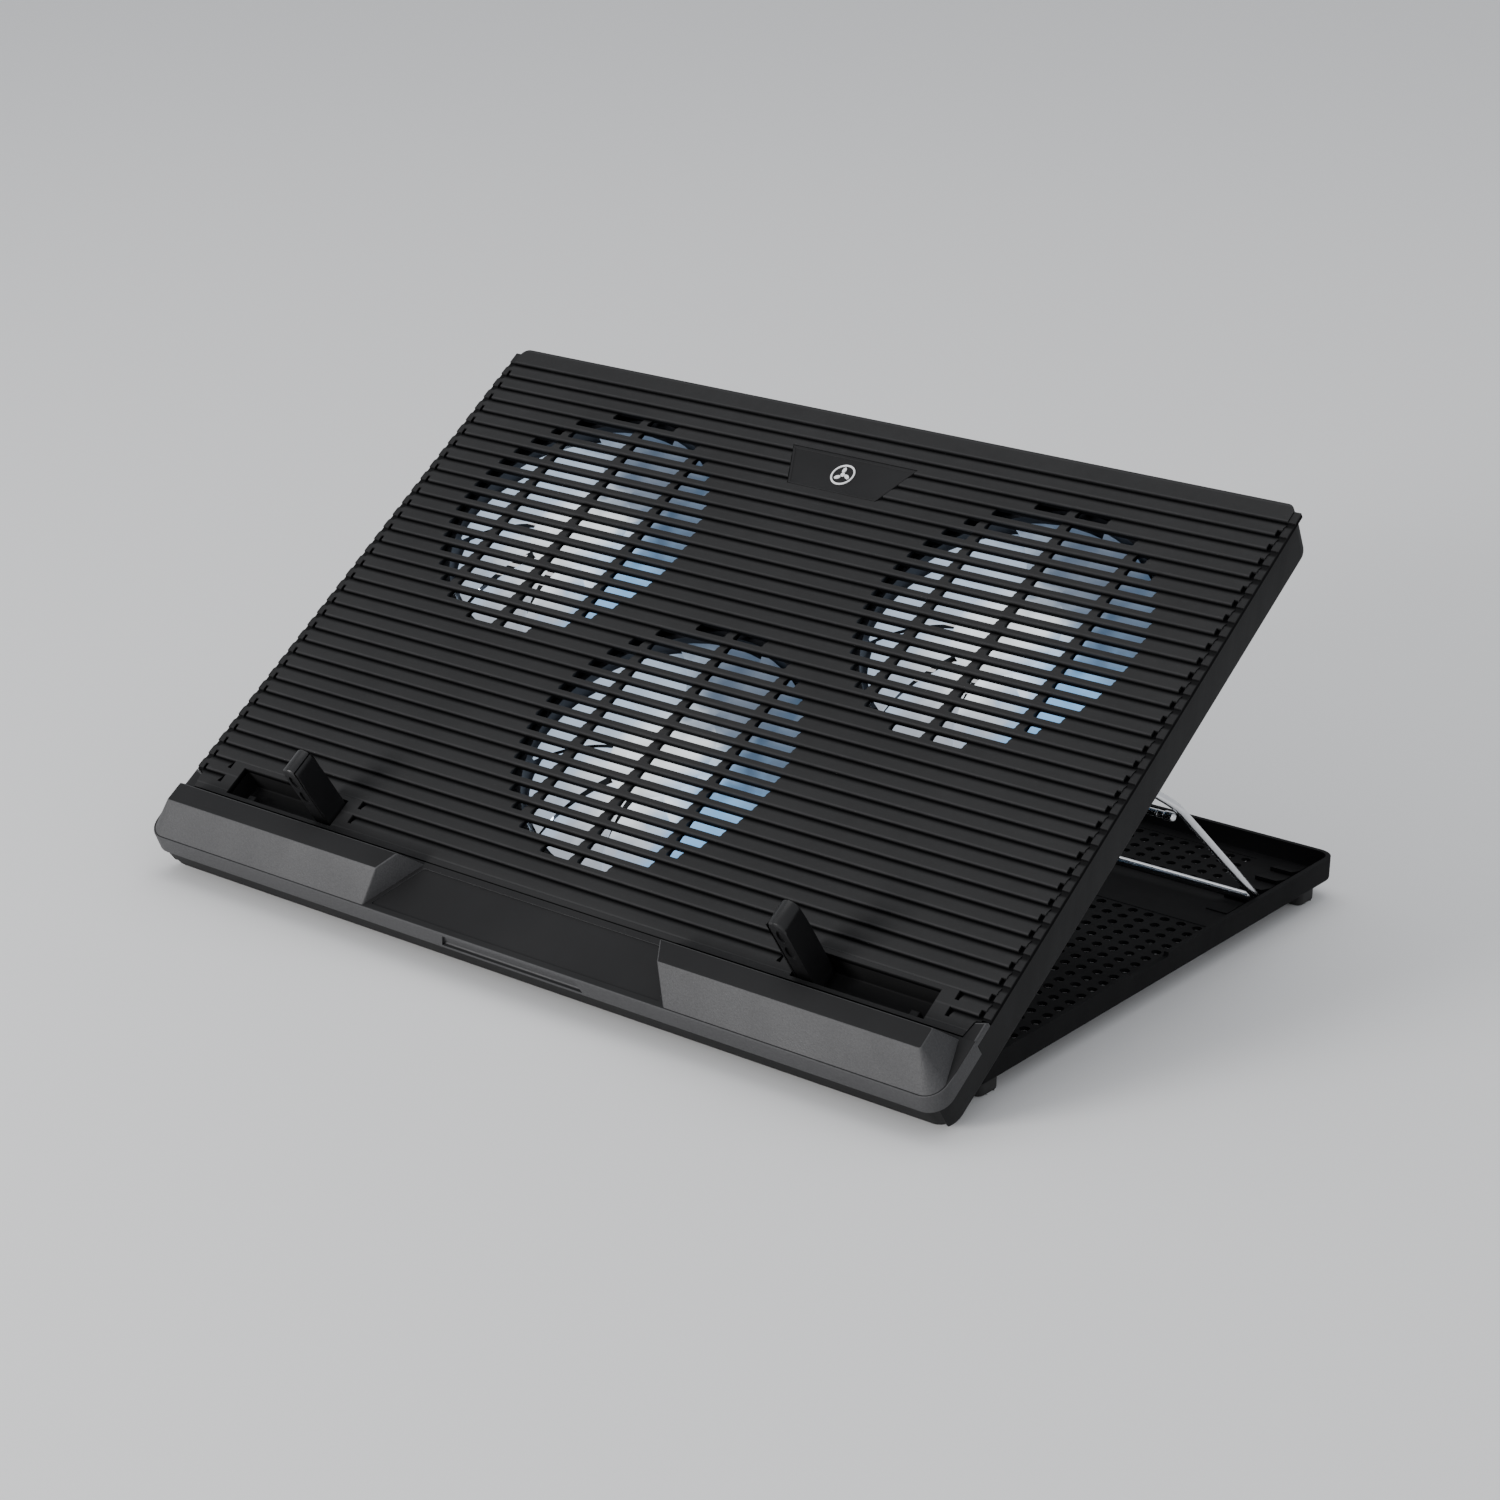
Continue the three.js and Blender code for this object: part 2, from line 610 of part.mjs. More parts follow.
function makeRotor() {
  const z0 = fanZ + 1.8 + 0.8;
  const z1 = fanZ + fan.height + 1;
  const cup = cut(
    rodZ(fan.hubRadius, z0, z1, 0, 0, 32),
    rodZ(fan.hubRadius - fan.hubWall, z0 - 1, z1 - 1.6, 0, 0, 32),
  );
  let body = join(cup, rodZ(fan.shaftRadius, fanZ + 1.2, z1 - 0.5, 0, 0, 8));
  const low = z0 + 0.6;
  const high = z1 - 1.4;
  const at = (r, angle, z) => [r * Math.cos(angle), r * Math.sin(angle), z];
  for (let k = 0; k < fan.blades; k++) {
    const a = (k / fan.blades) * 2 * Math.PI;
    const t = fan.bladeThickness;
    const station = (r, sweep, half) => [
      at(r, a + sweep - half, low),
      at(r, a + sweep + half, high - t),
      at(r, a + sweep + half, high),
      at(r, a + sweep - half, low + t),
    ];
    body = join(
      body,
      skin([
        station(fan.hubRadius - 1, 0, 16 * rad),
        station(fan.hubRadius + 18, 5 * rad, 15 * rad),
        station(bladeRadius, 16 * rad, 14 * rad),
      ]),
    );
  }
  return body;
}
for (const f of fans) {
  addMesh(deckFrame, `fan_frame_${f.name}`, makeFrame(), "shell").position.set(f.x, fanY(f), 0);
  addMesh(deckFrame, `fan_rotor_${f.name}`, makeRotor(), "rotor").position.set(f.x, fanY(f), 0);
}

// ---------------------------------------------------------------- flip-up stops
const stopAxisX = wellInner + knuckleRadius + stop.endGap;
const stopAxisZ = deck.height - stop.axisDepth;
for (const { name, s } of sides) {
  const w = well.wall;
  const cupBottom = deck.height - wellDepth - w;
  const cup = cut(
    sideBox(s, wellInner - w, wellOuter + w, well.front - w + gap, well.rear + w, cupBottom, panTop),
    sideBox(s, wellInner, wellOuter, well.front, well.rear, cupBottom + w, panTop + 1),
    rodY(stop.pinRadius + gap, well.front - w - 1, well.rear + w + 1, s * stopAxisX, stopAxisZ, 12),
  );
  addMesh(deckFrame, `stop_well_${name}`, cup, "shell");

  const half = stop.thickness / 2;
  const arm = new THREE.Shape();
  arm.moveTo(-half, 0);
  arm.absarc(0, 0, knuckleRadius, Math.PI + Math.asin(0.3), 2 * Math.PI - Math.asin(0.3));
  arm.lineTo(half, stop.length - half);
  arm.absarc(0, stop.length - half, half, 0, Math.PI);
  const y0 = well.front + stop.sideGap;
  const y1 = well.rear - stop.sideGap;
  const lever = cut(alongY(arm, y0, y1), rodY(stop.pinRadius + gap, y0 - 1, y1 + 1, 0, 0, 12));
  addMesh(deckFrame, `stop_${name}`, lever, "shell").position.set(s * stopAxisX, 0, stopAxisZ);
  addMesh(
    deckFrame,
    `stop_pin_${name}`,
    rodY(stop.pinRadius, well.front - w + gap, well.rear + w, s * stopAxisX, stopAxisZ, 10),
    "steel",
  );
}

// ---------------------------------------------------------------- bent wire prop
// The wire lies in a plane: u across the pad, t from the pivot towards the crossbar.
const rounded = (corners, radius, steps) =>
  corners.flatMap((corner, i) => {
    if (i === 0 || i === corners.length - 1) return [corner];
    const towards = (other) => {
      const d = other.clone().sub(corner);
      return corner.clone().addScaledVector(d.normalize(), radius);
    };
    const curve = new THREE.QuadraticBezierCurve(towards(corners[i - 1]), corner, towards(corners[i + 1]));
    return curve.getPoints(steps);
  });
function bentWire(path, radius, sideCount) {
  const rings = path.map((point, i) => {
    const before = path[Math.max(i - 1, 0)];
    const after = path[Math.min(i + 1, path.length - 1)];
    const inDir = point.clone().sub(before).normalize();
    const outDir = after.clone().sub(point).normalize();
    const along = inDir.add(outDir).normalize();
    const across = new THREE.Vector2(-along.y, along.x);
    return Array.from({ length: sideCount }, (_, k) => {
      const a = (k / sideCount) * 2 * Math.PI;
      const c = radius * Math.cos(a);
      return [point.x + across.x * c, point.y + across.y * c, radius * Math.sin(a)];
    });
  });
  return skin(rings);
}
const crossbarT = wireLength;
const shoulderT = wire.shoulderRise;
const cornersRight = [
  new THREE.Vector2(wireEndX, 0),
  new THREE.Vector2(shoulderX, 0),
  new THREE.Vector2(legX, shoulderT),
  new THREE.Vector2(legX, crossbarT),
];
const cornersLeft = cornersRight.map((p) => new THREE.Vector2(-p.x, p.y)).reverse();
const wirePath = rounded([...cornersRight, ...cornersLeft], wire.bend, 4);
const propPivot = new THREE.Group();
propPivot.position.set(0, hinge.setback + wire.pivotSetback, -wire.pivotDrop);
propPivot.rotation.x = wireAngle;
deckFrame.add(propPivot);
addMesh(propPivot, "prop_wire", bentWire(wirePath, wire.radius, 10), "steel");

const braceZ = -(wire.radius + brace.radius + gap);
const braceEnd = legX - 1;
const braceBody = join(
  rodX(brace.radius, -braceEnd, braceEnd, shoulderT + 5, braceZ, 10),
  rodX(brace.headRadius, braceEnd - brace.headLength, braceEnd + 0.5, shoulderT + 5, braceZ, 12),
  rodX(brace.headRadius, -braceEnd - 0.5, -braceEnd + brace.headLength, shoulderT + 5, braceZ, 12),
);
addMesh(propPivot, "prop_brace", braceBody, "steel");

for (const { name, s } of sides) {
  const y = hinge.setback + wire.pivotSetback;
  const body = cut(
    sideBox(
      s,
      blockInner,
      blockOuter,
      y - block.half,
      y + block.half,
      -wire.pivotDrop - block.below,
      -gap,
    ),
    sideRodX(s, wire.radius + gap, blockInner + 1, blockOuter + 1, y, -wire.pivotDrop, 12),
  );
  addMesh(deckFrame, `prop_block_${name}`, body, "shell");
}

// ---------------------------------------------------------------- electrics
const boardZ = deck.floor + board.above;
const boardTop = boardZ + board.thickness;
const boardRear = rearY - deck.wall - gap;
addMesh(
  deckFrame,
  "circuit_board",
  box(-board.halfWidth, board.halfWidth, boardRear - board.depth, boardRear, boardZ, boardTop),
  "board",
);
usb.xs.forEach((x, i) => {
  const z0 = boardTop + gap;
  const body = cut(
    box(x - usb.width / 2, x + usb.width / 2, rearY - usb.length, rearY, z0, z0 + usb.height),
    box(
      x - usb.width / 2 + usb.wall,
      x + usb.width / 2 - usb.wall,
      rearY - usb.length + 5,
      rearY + 1,
      z0 + usb.wall,
      z0 + usb.height - usb.wall,
    ),
  );
  addMesh(deckFrame, `usb_socket_${sides[i].name}`, body, "steel");
});
{
  const z0 = boardTop + gap;
  const x0 = rocker.x - rocker.width / 2;
  const x1 = rocker.x + rocker.width / 2;
  const w = rocker.wall;
  const midZ = z0 + rocker.height / 2;
  const housing = cut(
    box(x0, x1, rearY - rocker.length, rearY, z0, z0 + rocker.height),
    box(x0 + w, x1 - w, rearY - rocker.length + 4, rearY + 1, z0 + w, z0 + rocker.height - w),
  );
  addMesh(deckFrame, "switch_housing", housing, "shell");
  // The rocker turns about a line along X, its face bowed in at the middle.
  const half = rocker.height / 2 - w - 0.7;
  const face = 1.2;
  const profile = [
    [-4.2, -half * 0.5],
    [face + 0.6, -half],
    [face, 0],
    [face + 0.6, half],
    [-4.2, half * 0.5],
  ];
  const key = alongX(profile, x0 + w + 0.4, x1 - w - 0.4);
  const mesh = addMesh(deckFrame, "switch_rocker", key, "rubber");
  mesh.position.set(0, rearY - 3.4, midZ);
  mesh.rotation.x = -rocker.tilt * rad;
}

screwPlaces.forEach(([x, y], i) => {
  const body = join(
    rodZ(screw.headRadius, 0.1, screw.headHeight, x, y, 12),
    rodZ(screw.shaftRadius, 0.5, screw.length, x, y, 8),
  );
  addMesh(deckFrame, `deck_screw_${i + 1}`, body, "steel");
});

// The origin is the middle of the footprint, on the table.
pad.updateMatrixWorld(true);
const bounds = new THREE.Box3().setFromObject(pad, true);
pad.position.y = -(bounds.min.y + bounds.max.y) / 2;
pad.updateMatrixWorld(true);

export default pad;
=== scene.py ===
import json
import math
import bpy
import bmesh
from mathutils import Matrix, Quaternion, Vector


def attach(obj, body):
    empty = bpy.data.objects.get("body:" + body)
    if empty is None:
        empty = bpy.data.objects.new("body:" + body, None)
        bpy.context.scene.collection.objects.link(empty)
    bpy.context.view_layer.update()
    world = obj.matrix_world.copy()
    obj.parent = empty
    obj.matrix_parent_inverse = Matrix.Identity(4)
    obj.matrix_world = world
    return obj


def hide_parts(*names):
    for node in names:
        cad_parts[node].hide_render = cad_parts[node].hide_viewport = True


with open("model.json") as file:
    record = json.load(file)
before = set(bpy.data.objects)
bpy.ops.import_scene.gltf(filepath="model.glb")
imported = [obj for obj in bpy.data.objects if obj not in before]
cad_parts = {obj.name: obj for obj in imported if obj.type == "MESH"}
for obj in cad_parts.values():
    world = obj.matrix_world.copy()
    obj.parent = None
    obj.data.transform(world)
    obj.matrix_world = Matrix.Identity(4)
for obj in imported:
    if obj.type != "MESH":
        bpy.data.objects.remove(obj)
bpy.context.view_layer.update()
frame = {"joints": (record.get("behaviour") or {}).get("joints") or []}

joints = {joint["name"]: joint for joint in frame["joints"]}
mm = 0.001  # pieces are modelled lying flat in millimetres, and scaled as they are put in place
sides = {"left": -1, "right": 1}

# where the flat pieces go: the deck from its front lower edge, the tray from its hinge, the wire from
# its pivot
deckPlace = {"setback": 33.7, "drop": 5.0, "tilt": -joints["deck_tilt"]["range_deg"][0]}
hingeAt = Vector(joints["deck_tilt"]["pos_m"])
pivotAt = Vector(joints["prop_swing"]["pos_m"])
barAt = Vector((0, hingeAt.y + 0.2075, hingeAt.z + 0.001))
wireDrop = math.atan2(barAt.z - pivotAt.z, barAt.y - pivotAt.y)
deckMatrix = (Matrix.Translation(hingeAt) @ Matrix.Rotation(math.radians(deckPlace["tilt"]), 4, "X")
              @ Matrix.Scale(mm, 4) @ Matrix.Translation((0, -deckPlace["setback"], deckPlace["drop"])))
trayMatrix = Matrix.Translation((0, hingeAt.y, 0)) @ Matrix.Scale(mm, 4)
wireMatrix = Matrix.Translation(pivotAt) @ Matrix.Rotation(wireDrop, 4, "X") @ Matrix.Scale(mm, 4)


# ---- working tools
def focus(piece):
    if bpy.context.mode != "OBJECT":
        bpy.ops.object.mode_set(mode="OBJECT")
    bpy.ops.object.select_all(action="DESELECT")
    piece.select_set(True)
    bpy.context.view_layer.objects.active = piece


def named(name):
    piece = bpy.context.active_object
    piece.name = name
    piece.data.name = name
    return piece


def applyPlace(piece):
    focus(piece)
    bpy.ops.object.transform_apply(location=True, rotation=True, scale=True)
    return piece


def addBlock(name, x, y, z):
    bpy.ops.object.select_all(action="DESELECT")
    bpy.ops.mesh.primitive_cube_add(size=1,
                                    location=((x[0] + x[1]) / 2, (y[0] + y[1]) / 2, (z[0] + z[1]) / 2))
    piece = named(name)
    piece.scale = (x[1] - x[0], y[1] - y[0], z[1] - z[0])
    return applyPlace(piece)


def addRod(name, radius, length, at, axis="Z", sides=32, tip=None):
    turn = {"X": (0, math.pi / 2, 0), "Y": (math.pi / 2, 0, 0), "Z": (0, 0, 0)}[axis]
    bpy.ops.object.select_all(action="DESELECT")
    bpy.ops.mesh.primitive_cone_add(vertices=sides, radius1=radius, radius2=radius if tip is None else tip,
                                    depth=length, location=at, rotation=turn)
    return applyPlace(named(name))


def pick(piece, kind, test):  # goes into edit mode with only the wanted parts selected
    focus(piece)
    bpy.ops.object.mode_set(mode="EDIT")
    bpy.ops.mesh.select_mode(type=kind)
    bpy.ops.mesh.select_all(action="DESELECT")
    mesh = bmesh.from_edit_mesh(piece.data)
    parts = {"VERT": mesh.verts, "EDGE": mesh.edges, "FACE": mesh.faces}[kind]
    found = 0
    for part in parts:
        if test(part):
            part.select_set(True)
            found += 1
    mesh.select_flush_mode()
    bmesh.update_edit_mesh(piece.data)
    return found


def leave():
    bpy.ops.object.mode_set(mode="OBJECT")


def middle(edge):
    return (edge.verts[0].co + edge.verts[1].co) / 2


def along(edge, axis):
    d = edge.verts[1].co - edge.verts[0].co
    return d.length > 1e-6 and abs(d[axis]) / d.length > 0.999


def bevelEdges(piece, test, width, segments=3, profile=0.5):
    if pick(piece, "EDGE", test):
        bpy.ops.mesh.bevel(offset=width, segments=segments, profile=profile, affect="EDGES")
    leave()
    return piece


def shift(piece, kind, test, move):
    if pick(piece, kind, test):
        bpy.ops.transform.translate(value=move)
    leave()
    return piece


def stretch(piece, kind, test, factor, centre):
    if pick(piece, kind, test):
        bpy.ops.transform.resize(value=factor, center_override=centre)
    leave()
    return piece


def modify(piece, kind, **settings):
    focus(piece)
    modifier = piece.modifiers.new(kind.title(), kind)
    for key, value in settings.items():
        setattr(modifier, key, value)
    bpy.ops.object.modifier_apply(modifier=modifier.name)
    return piece


def combine(piece, tool, how="DIFFERENCE", keep=False):
    modify(piece, "BOOLEAN", operation=how, object=tool, solver="EXACT")
    if not keep:
        bpy.data.objects.remove(tool)
    return piece


def joinAll(pieces, name):
    bpy.ops.object.select_all(action="DESELECT")
    for piece in pieces:
        piece.select_set(True)
    bpy.context.view_layer.objects.active = pieces[0]
    bpy.ops.object.join()
    return named(name)


def copyOf(piece, name, move=(0, 0, 0), mirrorX=False):
    twin = piece.copy()
    twin.data = piece.data.copy()
    bpy.context.scene.collection.objects.link(twin)
    twin.name = name
    twin.data.name = name
    twin.data.transform(Matrix.Translation(move))
    if mirrorX:
        twin.data.transform(Matrix.Scale(-1, 4, (1, 0, 0)))
        pick(twin, "FACE", lambda face: True)
        bpy.ops.mesh.flip_normals()
        leave()
    return twin


def soften(piece, width=0.3, segments=2, angle=35):
    return modify(piece, "BEVEL", width=width, segments=segments, limit_method="ANGLE",
                  angle_limit=math.radians(angle), harden_normals=False, use_clamp_overlap=True)


def roundedBlock(name, x, y, z, radius, segments=6):
    piece = addBlock(name, x, y, z)
    return bevelEdges(piece, lambda edge: along(edge, 2), radius, segments)


def blocksIn(name, spans):  # many blocks in one mesh, added in edit mode
    piece = addBlock(name, *spans[0])
    focus(piece)
    bpy.ops.object.mode_set(mode="EDIT")
    for x, y, z in spans[1:]:
        bpy.ops.mesh.primitive_cube_add(size=1,
                                        location=((x[0] + x[1]) / 2, (y[0] + y[1]) / 2, (z[0] + z[1]) / 2),
                                        scale=(x[1] - x[0], y[1] - y[0], z[1] - z[0]))
    leave()
    return piece


def putDown(piece, place, body, material, nodes=(), smooth=40):
    piece.matrix_world = place
    applyPlace(piece)
    bpy.ops.object.shade_smooth_by_angle(angle=math.radians(smooth))
    piece.data.materials.clear()
    for one in material if isinstance(material, (list, tuple)) else [material]:
        piece.data.materials.append(one)
    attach(piece, body)
    if nodes:
        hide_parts(*nodes)
    return piece


def paint(piece, test, index):  # faces that pass the test take another of the piece's materials
    for face in piece.data.polygons:
        if test(face):
            face.material_index = index


# ---- camera and studio, set up first
cameraSet = {"at": (0.7966, -1.0501, 0.5343), "azimuth": 37.19, "elevation": 19.75, "roll": 1.22,
             "lens": 80.0}


def makeCamera():
    bpy.ops.object.select_all(action="DESELECT")
    bpy.ops.object.camera_add(location=cameraSet["at"])
    camera = bpy.context.active_object
    camera.name = "camera"
    camera.data.sensor_width = 36
    camera.data.lens = cameraSet["lens"]
    camera.data.clip_start = 0.01
    camera.rotation_mode = "QUATERNION"
    a, e = math.radians(cameraSet["azimuth"]), math.radians(cameraSet["elevation"])
    back = Vector((math.sin(a) * math.cos(e), -math.cos(a) * math.cos(e), math.sin(e)))
    turned = (-back).to_track_quat("-Z", "Y")
    camera.rotation_quaternion = turned @ Quaternion((0, 0, 1), math.radians(cameraSet["roll"]))
    bpy.context.scene.camera = camera


studio = {
    "floorColour": (0.84, 0.84, 0.84),
    "world": (0.94, 0.96, 1.0), "worldStrength": 0.72,
    "lamps": [  # name, place, aimed at, width, watts, colour
        ("keyLamp", (-0.75, -2.3, 0.50), (0, -0.05, 0.08), 0.9, 66, (1.0, 0.99, 0.98)),
        ("fillLamp", (2.2, -1.6, 1.2), (0, 0, 0.06), 1.4, 5, (0.97, 0.98, 1.0)),
        ("topLamp", (-0.4, 0.3, 2.4), (0, 0.0, 0.0), 2.2, 14, (1.0, 1.0, 1.0)),
    ],
}


def makeStudio():
    bpy.ops.object.select_all(action="DESELECT")
    bpy.ops.mesh.primitive_plane_add(size=60, location=(0, 0, 0))
    floor = named("floor")
    paper = bpy.data.materials.new("paperFloor")
    paper.use_nodes = True
    shader = paper.node_tree.nodes["Principled BSDF"]
    shader.inputs["Base Color"].default_value = (*studio["floorColour"], 1)
    shader.inputs["Roughness"].default_value = 0.85
    floor.data.materials.append(paper)
    for name, at, aim, width, watts, colour in studio["lamps"]:
        bpy.ops.object.light_add(type="AREA", location=at)
        lamp = bpy.context.active_object
        lamp.name = name
        lamp.data.shape = "DISK"
        lamp.data.size = width
        lamp.data.energy = watts
        lamp.data.color = colour
        lamp.rotation_euler = (Vector(aim) - Vector(at)).to_track_quat("-Z", "Y").to_euler()
    world = bpy.data.worlds.new("studioWorld")
    world.use_nodes = True
    world.node_tree.nodes["Background"].inputs["Color"].default_value = (*studio["world"], 1)
    world.node_tree.nodes["Background"].inputs["Strength"].default_value = studio["worldStrength"]
    bpy.context.scene.world = world


makeCamera()
makeStudio()
print("camera and studio ready")


# ---- sizes shared by the ribbed top and the front moulding
top = {
    "halfWidth": 203.6, "rear": 296.0, "front": 29.9, "under": 19.2, "surface": 22.0, "corner": 6.0,
    "pitch": 7.5, "count": 34, "firstLine": 287.25, "dropDepth": 1.6, "rampRun": 3.4, "edgeRound": 0.35,
    "shortFrom": 32, "shortInner": 112.2, "shortOuter": 186.8, "hookWidth": 1.9, "hookReach": 4.2,
    "combFrom": 201.2, "combTo": 204.3, "combDrop": 0.5, "combGroove": 0.7, "notchWidth": 2.0,
    "notchReach": 2.6,
    "seamReach": 9.0,
    "slotWidth": 4.8, "slotLead": 0.2, "fieldLead": 1.5, "slotRound": 0.7, "fieldRadius": 62.5,
    "fieldRows": 8,
    "barOffset": 35.3, "barWidth": 4.0,
    "fans": {"left": (-111.5, 10), "right": (111.5, 10), "centre": (0.0, 23)},
    "pocket": {"x": (119.0, 180.0), "y": (31.5, 45.3)},
}
badge = {"front": 254.0, "rear": 274.0, "halfFront": 22.8, "halfRear": 32.2, "gap": 0.3, "line": 0.9,
         "thickness": 2.0,
         "emblem": 5.6}

trim = {
    "halfWidth": 204.0, "depth": 29.3, "under": 14.0, "surface": 22.0, "lean": 1.35, "corner": 9.0,
    "wall": 2.0,
    "barHeight": 12.0, "innerRear": 63.0, "innerFront": 78.4, "outerFront": 203.5, "outerRear": 198.0,
    "footRadius": 8.0,
    "topInnerRear": 67.8, "topInnerFront": 72.6, "topOuter": 193.4, "topRadius": 1.0, "topFront": 13.9,
    "topRear": 23.3, "footRear": 28.5, "edge": 0.55,
    "panelFront": 4.2, "panelRear": 26.6, "panelDepth": 0.6,
    "recessTop": 34.2, "recessBottom": 36.5, "recessRise": 5.6, "recessDepth": 1.9, "recessEdge": 1.2,
}


# ---- finishes
def newMaterial(name):
    material = bpy.data.materials.new(name)
    material.use_nodes = True
    nodes, links = material.node_tree.nodes, material.node_tree.links
    shader = nodes["Principled BSDF"]
    where = nodes.new("ShaderNodeTexCoord")
    return material, nodes, links, shader, where.outputs["Object"]


def noiseAt(nodes, links, coords, scale, detail=3, roughness=0.5, stretched=None):
    if stretched:
        mapping = nodes.new("ShaderNodeMapping")
        mapping.inputs["Scale"].default_value = stretched
        links.new(coords, mapping.inputs["Vector"])
        coords = mapping.outputs["Vector"]
    noise = nodes.new("ShaderNodeTexNoise")
    noise.inputs["Scale"].default_value = scale
    noise.inputs["Detail"].default_value = detail
    noise.inputs["Roughness"].default_value = roughness
    links.new(coords, noise.inputs["Vector"])
    return noise.outputs["Fac"]


def rampOf(nodes, links, factor, stops):
    ramp = nodes.new("ShaderNodeValToRGB")
    ramp.color_ramp.elements[0].position, ramp.color_ramp.elements[0].color = stops[0][0], (*stops[0][1], 1)
    ramp.color_ramp.elements[1].position, ramp.color_ramp.elements[1].color = stops[-1][0], (*stops[-1][1], 1)
    for position, colour in stops[1:-1]:
        element = ramp.color_ramp.elements.new(position)
        element.color = (*colour, 1)
    links.new(factor, ramp.inputs["Fac"])
    return ramp.outputs["Color"]


def rangeOf(nodes, links, value, low, high):
    spread = nodes.new("ShaderNodeMapRange")
    spread.inputs["From Min"].default_value = 0.3
    spread.inputs["From Max"].default_value = 0.7
    spread.inputs["To Min"].default_value = low
    spread.inputs["To Max"].default_value = high
    links.new(value, spread.inputs["Value"])
    return spread.outputs["Result"]


def bumpFrom(nodes, links, shader, heights):  # heights: (socket, strength, distance), coarse first
    last = None
    for height, strength, distance in heights:
        bump = nodes.new("ShaderNodeBump")
        bump.inputs["Strength"].default_value = strength
        bump.inputs["Distance"].default_value = distance
        links.new(height, bump.inputs["Height"])
        if last:
            links.new(last, bump.inputs["Normal"])
        last = bump.outputs["Normal"]
    links.new(last, shader.inputs["Normal"])


def mouldedPlastic(name, dark, light, rough, grain, grainDepth, specular=0.4):
    material, nodes, links, shader, coords = newMaterial(name)
    cloud = noiseAt(nodes, links, coords, 22, 4)
    fine = noiseAt(nodes, links, coords, grain, 2, 0.6)
    rub = noiseAt(nodes, links, coords, 9, 5, 0.65, (1, 4, 1))
    links.new(rampOf(nodes, links, cloud, [(0.3, dark), (0.72, light)]), shader.inputs["Base Color"])
    links.new(rangeOf(nodes, links, rub, rough - 0.05, rough + 0.07), shader.inputs["Roughness"])
    shader.inputs["Specular IOR Level"].default_value = specular
    bumpFrom(nodes, links, shader, [(cloud, 0.05, 0.0004), (fine, grainDepth, 0.00012)])
    return material


def spikedPlastic(name, dark, light, rough):  # coarse spark-eroded texture
    material, nodes, links, shader, coords = newMaterial(name)
    cells = nodes.new("ShaderNodeTexVoronoi")
    cells.inputs["Scale"].default_value = 1500
    cells.inputs["Randomness"].default_value = 1.0
    links.new(coords, cells.inputs["Vector"])
    pebble = noiseAt(nodes, links, coords, 1250, 3, 0.7)
    cloud = noiseAt(nodes, links, coords, 35, 4)
    links.new(rampOf(nodes, links, pebble, [(0.32, dark), (0.7, light)]), shader.inputs["Base Color"])
    links.new(rangeOf(nodes, links, cloud, rough - 0.06, rough + 0.06), shader.inputs["Roughness"])
    shader.inputs["Specular IOR Level"].default_value = 0.45
    bumpFrom(nodes, links, shader, [(pebble, 0.5, 0.00022), (cells.outputs["Distance"], 0.35, 0.00012)])
    return material


def platedSteel(name, tint=(0.78, 0.79, 0.81), rough=0.14):
    material, nodes, links, shader, coords = newMaterial(name)
    smear = noiseAt(nodes, links, coords, 60, 5, 0.6)
    draw = noiseAt(nodes, links, coords, 240, 2, 0.5, (0.15, 5, 5))
    dull = tuple(c * 0.86 for c in tint)
    links.new(rampOf(nodes, links, smear, [(0.3, dull), (0.65, tint)]), shader.inputs["Base Color"])
    links.new(rangeOf(nodes, links, smear, rough, rough + 0.12), shader.inputs["Roughness"])
    shader.inputs["Metallic"].default_value = 1.0
    bumpFrom(nodes, links, shader, [(draw, 0.06, 0.0001)])
    return material


def softRubber(name):
    material, nodes, links, shader, coords = newMaterial(name)
    dust = noiseAt(nodes, links, coords, 160, 5, 0.7)
    pores = noiseAt(nodes, links, coords, 2200, 2, 0.5)
    links.new(rampOf(nodes, links, dust, [(0.35, (0.008, 0.008, 0.008)), (0.8, (0.03, 0.03, 0.029))]),
              shader.inputs["Base Color"])
    links.new(rangeOf(nodes, links, dust, 0.72, 0.92), shader.inputs["Roughness"])
    bumpFrom(nodes, links, shader, [(pores, 0.3, 0.0001)])
    return material


